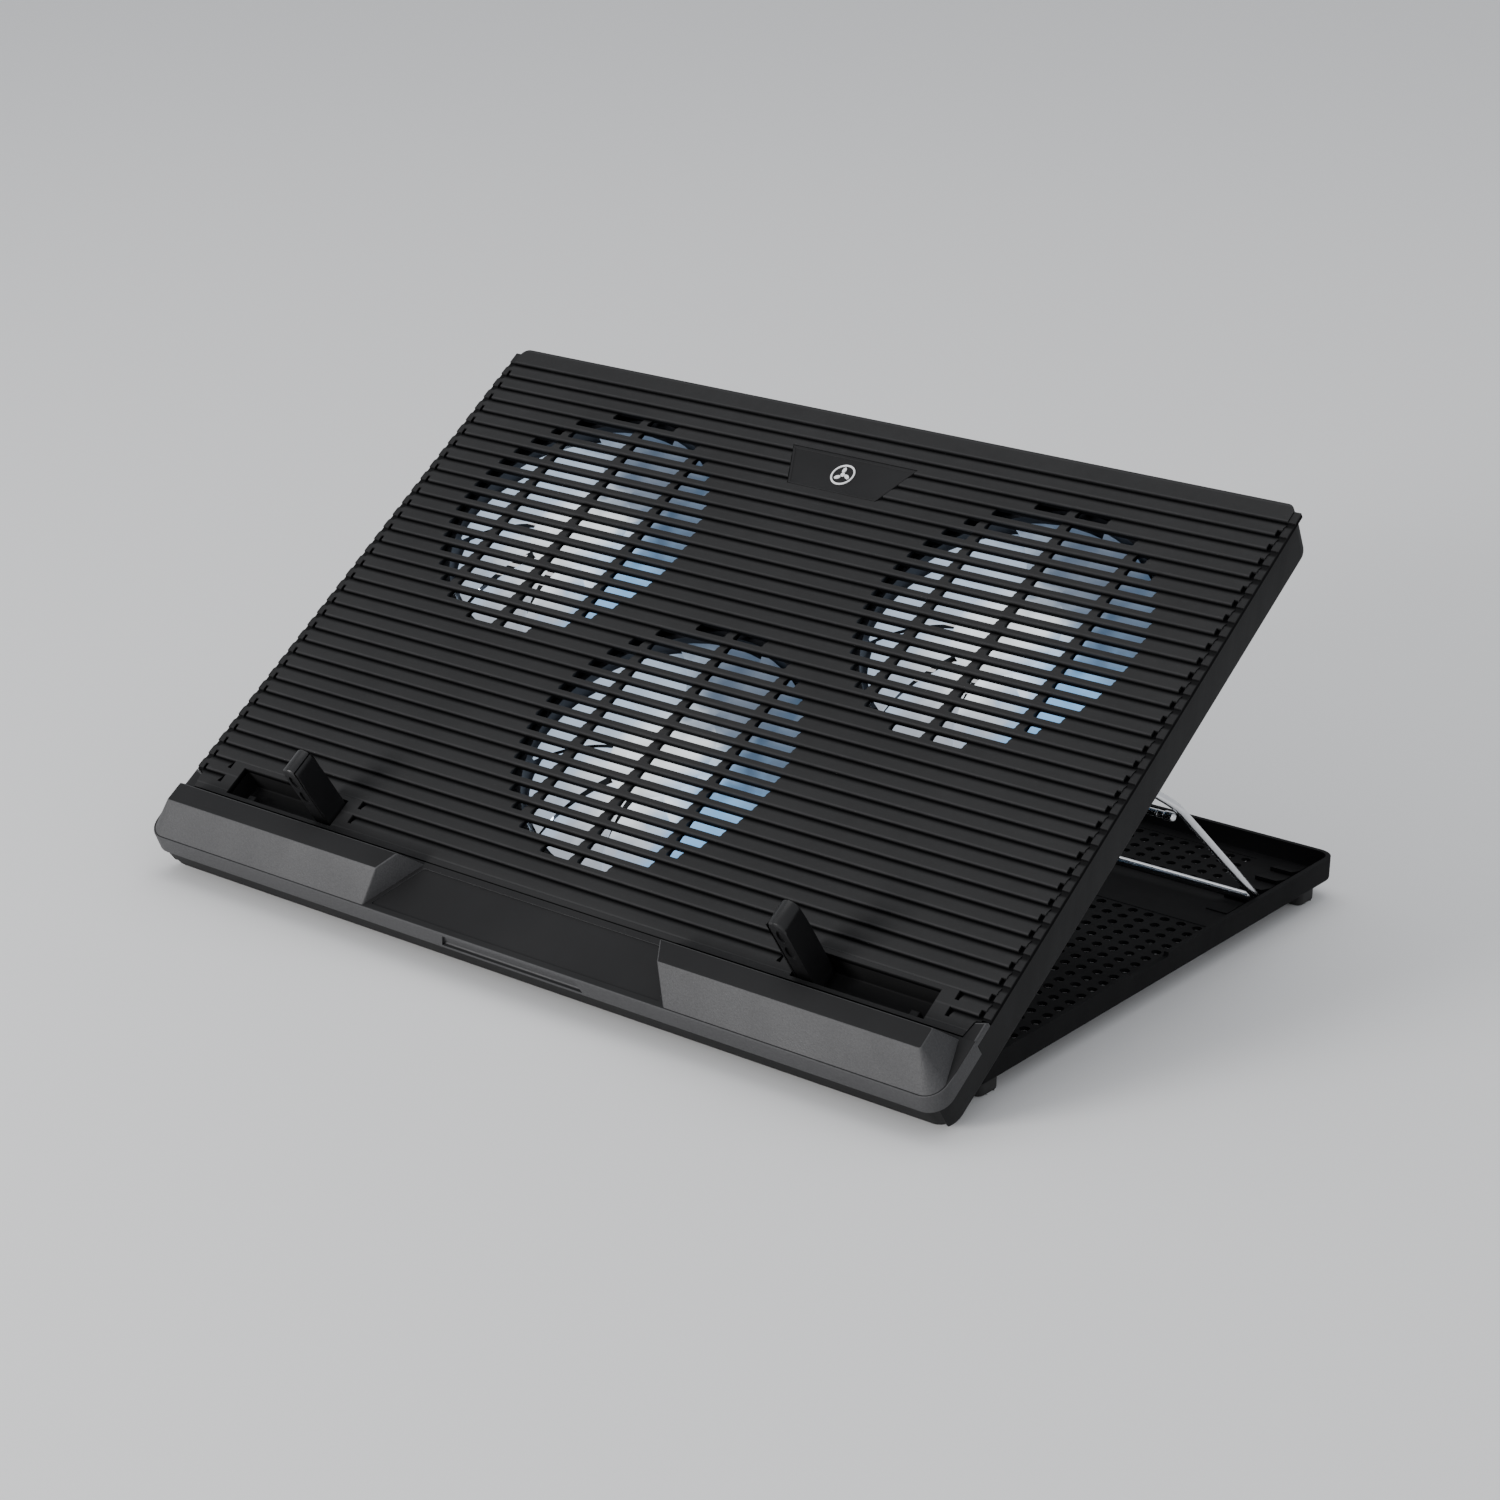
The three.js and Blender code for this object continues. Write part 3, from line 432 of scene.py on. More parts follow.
# painted glow: emission paints the fan lamps' light onto the milky rotor plastic, grey with a white core,
# blue to one side and painted shade to the other
def paintedGlowBlade(name, centre):
    material, nodes, links, shader, coords = newMaterial(name)
    mapping = nodes.new("ShaderNodeMapping")
    mapping.vector_type = "TEXTURE"
    mapping.inputs["Location"].default_value = tuple(centre)
    mapping.inputs["Rotation"].default_value = (math.radians(deckPlace["tilt"]), 0, 0)
    mapping.inputs["Scale"].default_value = (0.062, 0.062, 0.062)
    links.new(coords, mapping.inputs["Vector"])
    flat = mapping.outputs["Vector"]
    blotch = noiseAt(nodes, links, flat, 2.6, 3, 0.55)

    def spread(direction, offset, low, high):
        dot = nodes.new("ShaderNodeVectorMath")
        dot.operation = "DOT_PRODUCT"
        dot.inputs[1].default_value = direction
        links.new(flat, dot.inputs[0])
        wobble = nodes.new("ShaderNodeMath")
        wobble.operation = "MULTIPLY_ADD"
        wobble.inputs[1].default_value = 0.9
        links.new(blotch, wobble.inputs[0])
        links.new(dot.outputs["Value"], wobble.inputs[2])
        ranged = nodes.new("ShaderNodeMapRange")
        ranged.interpolation_type = "SMOOTHSTEP"
        ranged.inputs["From Min"].default_value = low + 0.45 + offset
        ranged.inputs["From Max"].default_value = high + 0.45 + offset
        links.new(wobble.outputs["Value"], ranged.inputs["Value"])
        return ranged.outputs["Result"]

    def mix(factor, before, after, amount):
        share = nodes.new("ShaderNodeMath")
        share.operation = "MULTIPLY"
        share.inputs[1].default_value = amount
        links.new(factor, share.inputs[0])
        blend = nodes.new("ShaderNodeMix")
        blend.data_type = "RGBA"
        links.new(share.outputs["Value"], blend.inputs["Factor"])
        if hasattr(before, "node"):
            links.new(before, blend.inputs["A"])
        else:
            blend.inputs["A"].default_value = (*before, 1)
        blend.inputs["B"].default_value = (*after, 1)
        return blend.outputs["Result"]

    core = nodes.new("ShaderNodeVectorMath")
    core.operation = "DISTANCE"
    core.inputs[1].default_value = (0.02, -0.08, 0)
    links.new(flat, core.inputs[0])
    away = nodes.new("ShaderNodeMath")
    away.operation = "MULTIPLY_ADD"
    away.inputs[1].default_value = 0.9
    links.new(blotch, away.inputs[0])
    links.new(core.outputs["Value"], away.inputs[2])
    near = nodes.new("ShaderNodeMapRange")
    near.interpolation_type = "SMOOTHSTEP"
    near.inputs["From Min"].default_value = 1.15
    near.inputs["From Max"].default_value = 0.62
    links.new(away.outputs["Value"], near.inputs["Value"])
    # painted glow colours: grey, a white core, blue, pale blue, and a dark painted-shade side
    colour = mix(near.outputs["Result"], (0.34, 0.37, 0.42), (0.93, 0.98, 1.0), 0.95)
    colour = mix(spread((1.0, -0.15, 0), 0, 0.16, 0.70), colour, (0.16, 0.46, 0.86), 0.88)
    colour = mix(spread((-0.55, 0.25, 0), 0, -0.02, 0.30), colour, (0.45, 0.66, 0.92), 0.35)
    colour = mix(spread((0.62, 0.78, 0), 0, 0.14, 0.60), colour, (0.020, 0.045, 0.085), 0.94)
    links.new(colour, shader.inputs["Emission Color"])
    shader.inputs["Emission Strength"].default_value = 1.2
    links.new(rampOf(nodes, links, blotch, [(0.3, (0.16, 0.18, 0.21)), (0.7, (0.26, 0.28, 0.32))]),
              shader.inputs["Base Color"])
    shader.inputs["Roughness"].default_value = 0.35
    return material


def lampLens(name):
    material, nodes, links, shader, coords = newMaterial(name)
    spots = noiseAt(nodes, links, coords, 300, 2)
    links.new(rampOf(nodes, links, spots, [(0.3, (0.45, 0.70, 1.0)), (0.7, (0.85, 0.93, 1.0))]),
              shader.inputs["Emission Color"])
    shader.inputs["Emission Strength"].default_value = 9
    shader.inputs["Base Color"].default_value = (0.8, 0.88, 1.0, 1)
    shader.inputs["Roughness"].default_value = 0.2
    return material


def lacqueredBoard(name):
    material, nodes, links, shader, coords = newMaterial(name)
    tracks = nodes.new("ShaderNodeTexBrick")
    tracks.inputs["Scale"].default_value = 140
    tracks.inputs["Color1"].default_value = (0.010, 0.075, 0.030, 1)
    tracks.inputs["Color2"].default_value = (0.012, 0.095, 0.038, 1)
    tracks.inputs["Mortar"].default_value = (0.035, 0.16, 0.065, 1)
    tracks.inputs["Mortar Size"].default_value = 0.03
    links.new(coords, tracks.inputs["Vector"])
    links.new(tracks.outputs["Color"], shader.inputs["Base Color"])
    links.new(rangeOf(nodes, links, noiseAt(nodes, links, coords, 200), 0.25, 0.42),
              shader.inputs["Roughness"])
    bumpFrom(nodes, links, shader, [(tracks.outputs["Fac"], 0.3, 0.0001)])
    return material


# painted shade darkens the grooves by depth; rubbed wear lightens the ribs' front edges
def ribbedPlastic(name, groove, crest, wear, rough):
    material, nodes, links, shader, coords = newMaterial(name)
    mapping = nodes.new("ShaderNodeMapping")
    mapping.vector_type = "TEXTURE"
    mapping.inputs["Location"].default_value = tuple(deckMatrix.translation)
    mapping.inputs["Rotation"].default_value = (math.radians(deckPlace["tilt"]), 0, 0)
    mapping.inputs["Scale"].default_value = (mm, mm, mm)
    links.new(coords, mapping.inputs["Vector"])
    split = nodes.new("ShaderNodeSeparateXYZ")
    links.new(mapping.outputs["Vector"], split.inputs["Vector"])
    # painted shade mask: 0 down in the grooves, 1 on the rib tops; it also lowers the specular level in the
    # grooves
    depth = nodes.new("ShaderNodeMapRange")
    depth.interpolation_type = "SMOOTHSTEP"
    depth.inputs["From Min"].default_value = top["surface"] - top["dropDepth"] - 0.1
    depth.inputs["From Max"].default_value = top["surface"] - 0.15
    links.new(split.outputs["Z"], depth.inputs["Value"])
    cloud = noiseAt(nodes, links, coords, 24, 4)
    fine = noiseAt(nodes, links, coords, 1900, 2, 0.6)
    rub = noiseAt(nodes, links, coords, 130, 4, 0.7)

    def step(operation, value, other, third=None):
        node = nodes.new("ShaderNodeMath")
        node.operation = operation
        for slot, item in enumerate((value, other, third)):
            if item is None:
                continue
            if hasattr(item, "node"):
                links.new(item, node.inputs[slot])
            else:
                node.inputs[slot].default_value = item
        return node.outputs["Value"]

    row = step("DIVIDE", step("SUBTRACT", split.outputs["Y"], top["firstLine"]), top["pitch"])
    place = step("FRACT", row, None)  # 0 at a rib's front edge, rising to 1 in the groove behind it
    edge = step("LESS_THAN", place, 0.10)
    rubbed = step("MULTIPLY", edge,
                  step("MULTIPLY", step("GREATER_THAN", split.outputs["Z"], top["surface"] - 0.4), rub))
    # painted shade: the groove colour is mixed into the base colour down in the grooves
    shade = nodes.new("ShaderNodeMix")
    shade.data_type = "RGBA"
    links.new(depth.outputs["Result"], shade.inputs["Factor"])
    shade.inputs["A"].default_value = (*groove, 1)
    links.new(rampOf(nodes, links, cloud, [(0.3, crest), (0.72, tuple(c * 1.35 for c in crest))]),
              shade.inputs["B"])
    worn = nodes.new("ShaderNodeMix")
    worn.data_type = "RGBA"
    links.new(rubbed, worn.inputs["Factor"])
    links.new(shade.outputs["Result"], worn.inputs["A"])
    worn.inputs["B"].default_value = (*wear, 1)
    links.new(worn.outputs["Result"], shader.inputs["Base Color"])
    links.new(rangeOf(nodes, links, rub, rough - 0.05, rough + 0.06), shader.inputs["Roughness"])
    gloss = nodes.new("ShaderNodeMapRange")
    gloss.inputs["To Min"].default_value = 0.02
    gloss.inputs["To Max"].default_value = 0.22
    links.new(depth.outputs["Result"], gloss.inputs["Value"])
    links.new(gloss.outputs["Result"], shader.inputs["Specular IOR Level"])
    bumpFrom(nodes, links, shader, [(cloud, 0.05, 0.0004), (fine, 0.2, 0.00012)])
    return material


finishes = {
    # the first rib colour is the painted shade in the grooves, then the crest colour and the rubbed wear
    # colour
    "ribs": ribbedPlastic("matt_black_ribs", (0.0022, 0.0022, 0.0024), (0.0098, 0.0098, 0.0102),
                          (0.026, 0.026, 0.027), 0.60),
    "shell": mouldedPlastic("matt_black_shell", (0.0075, 0.0075, 0.0078), (0.0110, 0.0110, 0.0114), 0.66,
                            1500, 0.30, 0.16),
    "tray": mouldedPlastic("matt_black_tray", (0.0066, 0.0066, 0.0069), (0.0100, 0.0100, 0.0104), 0.74,
                           1400, 0.30, 0.08),
    "trim": spikedPlastic("textured_grey_trim", (0.026, 0.026, 0.0275), (0.042, 0.042, 0.044), 0.62),
    "panel": mouldedPlastic("smooth_black_panel", (0.0085, 0.0085, 0.0090), (0.0120, 0.0120, 0.0125), 0.60,
                            1700, 0.15, 0.16),
    "lever": mouldedPlastic("satin_black_lever", (0.0062, 0.0062, 0.0066), (0.0095, 0.0095, 0.0100), 0.34,
                            1800, 0.10, 0.35),
    "steel": platedSteel("bright_plated_steel"),
    "pinSteel": platedSteel("plain_steel", (0.55, 0.56, 0.58), 0.28),
    "rubber": softRubber("soft_black_rubber"),
    "sign": mouldedPlastic("printed_white_sign", (0.62, 0.62, 0.63), (0.80, 0.80, 0.81), 0.42, 1200, 0.05),
    "board": lacqueredBoard("green_lacquered_board"),
    "lens": lampLens("lamp_lens"),
    "frame": mouldedPlastic("smoky_fan_frame", (0.020, 0.022, 0.026), (0.032, 0.034, 0.040), 0.45, 1500,
                            0.10),
    "contact": platedSteel("gold_contact", (0.83, 0.62, 0.25), 0.25),
}
print("finishes ready")


# ---- ribbed deck top
def lineY(i):
    return top["firstLine"] - top["pitch"] * i


def fanCentre(name):
    x, row = top["fans"][name]
    return x, lineY(row) - top["fieldLead"]


def trapezoid(name, front, rear, halfFront, halfRear, z):
    piece = addBlock(name, (-halfFront, halfFront), (front, rear), z)
    return stretch(piece, "VERT", lambda v: v.co.y > (front + rear) / 2, (halfRear / halfFront, 1, 1),
                   (0, rear, 0))


def makeShoulder(grow):  # where the moulding reaches back along the side, past the plate's slanted corner
    t = trim
    y = (t["depth"] - 1.0 - grow, top["front"] + top["seamReach"] - 0.3 + grow)
    z = (19.0 - grow, t["surface"] - 0.4 + 2 * grow)
    block = addBlock("shoulder", (t["outerRear"] - grow, t["halfWidth"] + 2 * grow), y, z)
    shift(block, "VERT", lambda v: v.co.x < t["outerRear"] + 1 and v.co.y > 34, (1.7, -1.4, 0))
    if not grow:
        bevelEdges(block, lambda e: middle(e).z > z[1] - 0.1
                   and (middle(e).x > t["halfWidth"] - 0.1 or middle(e).y > 36), 0.9, 3)
    return block


def makeDeckTop():
    t = top
    y1, y0 = t["firstLine"], t["firstLine"] - t["pitch"]
    low = t["surface"] - t["dropDepth"]
    piece = addBlock("deckTopPlate", (-t["halfWidth"], t["halfWidth"]), (y0, y1), (t["under"], t["surface"]))
    for point, normal in (((0, y1 - t["rampRun"], 0), (0, 1, 0)), ((0, 0, low), (0, 0, 1))):
        pick(piece, "FACE", lambda face: True)
        bpy.ops.mesh.bisect(plane_co=point, plane_no=normal)
        leave()
    shift(piece, "VERT", lambda v: v.co.y > y1 - 0.01 and v.co.z > low + 0.01, (0, 0, low - t["surface"]))
    pick(piece, "VERT", lambda v: True)
    bpy.ops.mesh.remove_doubles(threshold=0.01)
    leave()
    pick(piece, "FACE", lambda f: all(v.co.y > y1 - 0.01 for v in f.verts)
         or (all(v.co.y < y0 + 0.01 for v in f.verts) and all(v.co.z < low + 0.01 for v in f.verts)))
    bpy.ops.mesh.delete(type="FACE")
    leave()
    bevelEdges(piece, lambda e: along(e, 0) and abs(middle(e).y - y0) < 0.01
               and middle(e).z > t["surface"] - 0.01,
               t["edgeRound"], 2)
    modify(piece, "ARRAY", count=t["count"], use_relative_offset=False, use_constant_offset=True,
           constant_offset_displace=(0, -t["pitch"], 0), use_merge_vertices=True, merge_threshold=0.01)
    pick(piece, "EDGE", lambda e: len(e.link_faces) == 1)  # the two open ends
    bpy.ops.mesh.fill_holes(sides=0)
    bpy.ops.mesh.select_all(action="SELECT")
    bpy.ops.mesh.normals_make_consistent(inside=False)
    leave()
    full = (-t["halfWidth"], t["halfWidth"])
    shortLine = lineY(t["shortFrom"])
    fills = [(full, (t["firstLine"], t["rear"]), (t["under"], t["surface"])),
             (full, (t["front"], lineY(t["count"] - 1) - t["pitch"]), (t["under"], t["surface"]))]
    for s in (-1, 1):
        x = sorted((s * t["shortInner"], s * t["shortOuter"]))
        fills.append((x, (lineY(t["count"] - 1) - t["pitch"] / 2, shortLine), (t["under"], t["surface"])))
    for span in fills:
        combine(piece, addBlock("fill", *span), "UNION")
    ends = []
    for s in (-1, 1):  # comb ends: the same profile a little lower, past a small notch
        tip = copyOf(piece, "combEnd", (0, 0, -t["combDrop"]))
        x = sorted((s * (t["combFrom"] - 0.02), s * t["combTo"]))
        stretch(tip, "VERT", lambda v: v.co.x * s > 0, (t["combTo"] / t["halfWidth"], 1, 1), (0, 0, 0))
        combine(tip, addBlock("span", x, (t["front"] + t["seamReach"], t["rear"] - 3.0),
                              (t["under"], t["surface"])), "INTERSECT")
        filler = ((t["front"] + t["seamReach"], t["rear"] - 3.0),
                  (t["under"], t["surface"] - t["combDrop"] - t["combGroove"]))
        combine(tip, addBlock("filler", x, *filler), "UNION")
        ends.append(tip)
    x = (-t["combFrom"], t["combFrom"])
    outline = roundedBlock("outline", x, (-20, t["rear"]), (t["under"] - 1, t["surface"] + 1),
                           t["corner"] - 2, 8)
    combine(piece, outline, "INTERSECT")
    for tip in ends:
        combine(piece, tip, "UNION")

    cuts = []
    above = t["surface"] + 1
    for i in range(1, t["count"]):
        y = lineY(i)
        for s in (-1, 1):
            x = sorted((s * (t["combFrom"] - t["notchWidth"]), s * t["combFrom"]))
            cuts.append((x, (y - 0.2, y + t["notchReach"]), (low, above)))
    for i in range(t["shortFrom"], t["count"]):  # hooked ends of the short grooves
        y = lineY(i)
        for s in (-1, 1):
            for a, b in ((t["shortOuter"], t["shortOuter"] + t["hookWidth"]),
                         (t["shortInner"] - t["hookWidth"], t["shortInner"])):
                x = sorted((s * a, s * b))
                cuts.append((x, (y - t["hookReach"], y), (low, above)))
    for s in (-1, 1):
        x = sorted(s * v for v in t["pocket"]["x"])
        cuts.append((x, t["pocket"]["y"], (t["under"] - 1, above)))
    combine(piece, blocksIn("combCuts", cuts))

    for mirrored in (False, True):  # slanted front corners
        corner = makeShoulder(0.3)
        if mirrored:
            pick(corner, "VERT", lambda v: True)
            bpy.ops.transform.mirror(constraint_axis=(True, False, False), center_override=(0, 0, 0))
            bpy.ops.mesh.normals_make_consistent(inside=False)
            leave()
        combine(piece, corner)

    slots = []
    for x, row in t["fans"].values():
        for k in range(-t["fieldRows"], t["fieldRows"] + 1):
            chord = math.sqrt(t["fieldRadius"] ** 2 - (k * t["pitch"]) ** 2)
            stops = [-chord]
            for at in (-t["barOffset"], 0, t["barOffset"]):
                if abs(at) + t["barWidth"] < chord:
                    stops += [at - t["barWidth"] / 2, at + t["barWidth"] / 2]
            stops.append(chord)
            y = lineY(row + k) - t["slotLead"]
            for a, b in zip(stops[::2], stops[1::2]):
                slots.append(((x + a, x + b), (y - t["slotWidth"], y), (t["under"] - 1, above)))
    slotTool = bevelEdges(blocksIn("slots", slots), lambda e: along(e, 2), t["slotRound"], 2)
    combine(piece, slotTool)
    g = badge["gap"]
    combine(piece, trapezoid("badgeCut", badge["front"] - g, badge["rear"] + g, badge["halfFront"] + g,
                             badge["halfRear"] + g, (t["under"] - 1, above)))
    putDown(piece, deckMatrix, "deck", finishes["ribs"], ["deck_top"], 30)
    print("deck top: ", len(piece.data.polygons), "faces")


makeDeckTop()


# ---- name plate with a plain fan sign
def makeBadge():
    b = badge
    z = (top["surface"] - b["thickness"], top["surface"])
    plate = trapezoid("badgePlate", b["front"], b["rear"], b["halfFront"], b["halfRear"], z)
    pick(plate, "FACE", lambda f: f.normal.z > 0.9)
    bpy.ops.mesh.inset(thickness=b["line"])
    bpy.ops.mesh.inset(thickness=0.35, depth=-0.45)
    leave()
    soften(plate, 0.15, 1, 50)
    putDown(plate, deckMatrix, "deck", finishes["panel"], ["badge_plate"], 30)

    at = Vector((0, (b["front"] + b["rear"]) / 2, top["surface"] - 0.2))
    ring = addRod("badgeEmblem", b["emblem"], 0.5, at, sides=64)
    combine(ring, addRod("ringHole", b["emblem"] - 0.8, 3, at, sides=64))
    soften(ring, 0.1, 1, 50)
    parts = [ring]
    for k in range(3):  # three plain blades and a boss
        a = math.radians(90 + 120 * k)
        blade = addRod("blade", 0.85, 0.45, at, sides=24)
        blade.data.transform(Matrix.Translation(-at))
        blade.data.transform(Matrix.Scale(1.75, 4, (1, 0, 0)))
        blade.data.transform(Matrix.Translation((2.45, 0.6, 0)))
        blade.data.transform(Matrix.Rotation(a, 4, "Z"))
        blade.data.transform(Matrix.Translation(at))
        parts.append(blade)
    parts.append(addRod("boss", 0.95, 0.6, at, sides=24))
    sign = joinAll(parts, "badgeEmblem")
    putDown(sign, deckMatrix, "deck", finishes["sign"], ["badge_emblem"])


makeBadge()
print("badge made")


# ---- deck bottom shell
pan = {
    "halfWidth": 204.0, "rear": 296.0, "top": 18.9, "wall": 2.4, "floor": 2.2, "corner": 9.0, "draft": 1.2,
    "bottomRound": 2.6, "frontChamfer": 2.0, "stepDepth": 29.6, "stepTop": 13.7,
    "grilleRadius": 55.0, "grillePitch": 6.0, "grilleSlot": 3.2, "grilleBar": 27.0,
    "lugWidth": 14.0, "lugRadius": 3.8, "lugX": 150.0, "lugBore": 1.8,
    "screws": [(190.0, 62.0), (190.0, 150.0), (190.0, 285.0)],
}
socketRow = {"floor": 5.9, "usb": [(-22.0, 14.4, 6.6), (2.0, 14.4, 6.6)], "switch": (25.0, 14.0, 8.1),
             "gap": 0.3}


def makeDeckBottom():
    p = pan
    w = p["halfWidth"]
    piece = addBlock("deckBottomShell", (-w, w), (0, p["rear"]), (0, p["top"]))
    stretch(piece, "VERT", lambda v: v.co.z < 0.01, ((w - p["draft"]) / w, (p["rear"] - 1.6) / p["rear"], 1),
            (0, p["rear"] / 2, 0))
    bevelEdges(piece, lambda e: abs(e.verts[0].co.z - e.verts[1].co.z) > 5, p["corner"], 8)
    shift(piece, "VERT", lambda v: v.co.z < 0.01 and v.co.y < 2.5, (0, p["frontChamfer"], 0))
    bevelEdges(piece, lambda e: e.verts[0].co.z < 0.01 and e.verts[1].co.z < 0.01, p["bottomRound"], 4)
    inner = roundedBlock("inner", (-w + p["wall"] + 1.2, w - p["wall"] - 1.2),
                         (p["wall"] + 3.2, p["rear"] - p["wall"]),
                         (p["floor"], p["top"] + 1), p["corner"] - p["wall"], 6)
    combine(piece, inner)
    combine(piece, addBlock("step", (-w - 1, w + 1), (-1, p["stepDepth"]), (p["stepTop"], p["top"] + 1)))
    slots = []
    for name in top["fans"]:
        x, y = fanCentre(name)
        rows = int(p["grilleRadius"] // p["grillePitch"])
        for k in range(-rows, rows + 1):
            off = k * p["grillePitch"]
            chord = math.sqrt(max(p["grilleRadius"] ** 2 - (abs(off) + p["grilleSlot"] / 2) ** 2, 0))
            if chord < 8:
                continue
            marks = [-chord] + [v for at in (-p["grilleBar"], p["grilleBar"]) if abs(at) + 4 < chord
                                for v in (at - 1.5, at + 1.5)] + [chord]
            for a, b in zip(marks[::2], marks[1::2]):
                slots.append(((x + a, x + b), (y + off - p["grilleSlot"] / 2, y + off + p["grilleSlot"] / 2),
                              (-1, p["floor"] + 1)))
    combine(piece, bevelEdges(blocksIn("grille", slots), lambda e: along(e, 2), 1.2, 3))
    for s in (-1, 1):  # hinge lugs
        x = sorted((s * (p["lugX"] - p["lugWidth"] / 2), s * (p["lugX"] + p["lugWidth"] / 2)))
        y = deckPlace["setback"]
        lug = addBlock("lug", x, (y - p["lugRadius"], y + p["lugRadius"]),
                       (-deckPlace["drop"], p["floor"] / 2))
        combine(lug, addRod("knuckle", p["lugRadius"], p["lugWidth"],
                            (s * p["lugX"], y, -deckPlace["drop"]), "X", 40), "UNION")
        combine(lug, addRod("bore", p["lugBore"], p["lugWidth"] + 2, (s * p["lugX"], y, -deckPlace["drop"]),
                            "X", 24))
        combine(piece, lug, "UNION")
    for s in (-1, 1):
        for x, y in p["screws"]:
            combine(piece, addRod("sink", 3.5, 3.4, (s * x, y, 0), sides=24))
            combine(piece, addRod("hole", 1.5, 8, (s * x, y, 0), sides=16))
    g = socketRow["gap"]
    for x, width, height in socketRow["usb"] + [socketRow["switch"]]:
        combine(piece, addBlock("window", (x - width / 2 - g, x + width / 2 + g),
                                (p["rear"] - 6, p["rear"] + 1),
                                (socketRow["floor"] - g, socketRow["floor"] + height + g)))
    putDown(piece, deckMatrix, "deck", finishes["shell"], ["deck_bottom"], 35)
    print("deck bottom: ", len(piece.data.polygons), "faces")


makeDeckBottom()


# ---- front moulding
# modelled for the right side; its outer front corner is wide at the foot and nearly sharp on top
def makeWedge():
    t = trim
    z0, z1 = t["surface"] - 1.0, t["surface"] + t["barHeight"]
    x0, x1, y0, y1 = t["innerFront"], t["outerFront"], t["lean"], t["footRear"]
    bar = addBlock("wedge", (x0, x1), (y0, y1), (z0, z1))
    bevelEdges(bar, lambda e: along(e, 2) and middle(e).x > x1 - 1 and middle(e).y < y0 + 1,
               t["footRadius"], 8)
    high = lambda v: v.co.z > t["surface"] + 5
    arc = lambda v: v.co.x > x1 - t["footRadius"] - 0.1 and v.co.y < y0 + t["footRadius"] + 0.1
    shrink = t["topRadius"] / t["footRadius"]
    stretch(bar, "VERT", lambda v: high(v) and arc(v), (shrink, shrink, 1), (x1, y0, z1))
    shift(bar, "VERT", lambda v: high(v) and v.co.x > x1 - 2 and v.co.y < y0 + 2,
          (t["topOuter"] - x1, t["topFront"] - y0, 0))
    shift(bar, "VERT", lambda v: high(v) and v.co.x > x1 - 2, (t["topOuter"] - x1, t["topRear"] - y1, 0))
    shift(bar, "VERT", lambda v: high(v) and v.co.x < x0 + 1 and v.co.y < y0 + 1,
          (t["topInnerFront"] - x0, t["topFront"] - y0, 0))
    shift(bar, "VERT", lambda v: high(v) and v.co.x < x0 + 1 and v.co.y > y1 - 1,
          (t["topInnerRear"] - x0, t["topRear"] - y1, 0))
    shift(bar, "VERT", lambda v: not high(v) and v.co.x > x1 - 1 and v.co.y > y1 - 1,
          (t["outerRear"] - x1, 0, 0))
    shift(bar, "VERT", lambda v: not high(v) and v.co.x < x0 + 1 and v.co.y > y1 - 1,
          (t["innerRear"] - x0, 0, 0))
    bevelEdges(bar, lambda e: middle(e).z > t["surface"] + 0.5 and e.calc_face_angle(0) > math.radians(30),
               t["edge"], 3)
    return bar


def makeTrim():
    t = trim
    w = t["halfWidth"]
    piece = addBlock("frontTrim", (-w, w), (0, t["depth"]), (t["under"], t["surface"]))
    bevelEdges(piece, lambda e: along(e, 2) and middle(e).y < 5, t["corner"], 8)
    shift(piece, "VERT", lambda v: v.co.z > t["surface"] - 0.1 and v.co.y < t["corner"] + 0.1,
          (0, t["lean"], 0))
    bevelEdges(piece, lambda e: middle(e).z > t["surface"] - 0.1 and middle(e).y < t["corner"] + 2
               and not along(e, 2) and min(v.co.z for v in e.verts) > t["surface"] - 0.1, 0.5, 2)
    hollow = roundedBlock("hollow", (-w + t["wall"], w - t["wall"]),
                          (t["lean"] + t["wall"], t["depth"] - t["wall"]),
                          (t["under"] - 1, t["surface"] - t["wall"]), t["corner"] - t["wall"], 6)
    combine(piece, hollow)
    combine(piece, addBlock("backCut", (-w + t["wall"], w - t["wall"]),
                            (t["depth"] - t["wall"] - 1, t["depth"] + 1), (t["under"] - 1, 18.9)))
    wedge, shoulder = makeWedge(), makeShoulder(0)
    for master in (wedge, shoulder):
        combine(piece, copyOf(master, "mirrored", mirrorX=True), "UNION")
        combine(piece, master, "UNION")
    rise, edge = t["recessRise"], t["surface"] - t["recessEdge"]
    recess = addBlock("recess", (-t["recessBottom"], t["recessBottom"]), (-1, t["recessDepth"]),
                      (edge - rise, edge))
    stretch(recess, "VERT", lambda v: v.co.z > edge - 1, (t["recessTop"] / t["recessBottom"], 1, 1),
            (0, 0, edge))
    bevelEdges(recess, lambda e: middle(e).y > 0 and along(e, 0), 0.6, 3)
    combine(piece, recess)
    reach = (t["innerFront"] - t["innerRear"]) / (t["footRear"] - t["lean"])  # how the bars' feet slant
    halfAt = lambda y: t["innerFront"] - reach * (y - t["lean"]) - 1.6
    panel = trapezoid("panel", t["panelFront"], t["panelRear"], halfAt(t["panelFront"]),
                      halfAt(t["panelRear"]),
                      (t["surface"] - t["panelDepth"], t["surface"] + 1))
    bevelEdges(panel, lambda e: along(e, 2), 1.0, 3)
    combine(piece, panel)
    putDown(piece, deckMatrix, "deck", [finishes["trim"], finishes["panel"]], ["front_trim"], 30)
    up = deckMatrix.to_3x3().normalized() @ Vector((0, 0, 1))
    # the low middle, the strips beside the bars and their tops are smooth and darker
    paint(piece, lambda f: f.normal.dot(up) > 0.97, 1)
    print("front moulding: ", len(piece.data.polygons), "faces")


makeTrim()


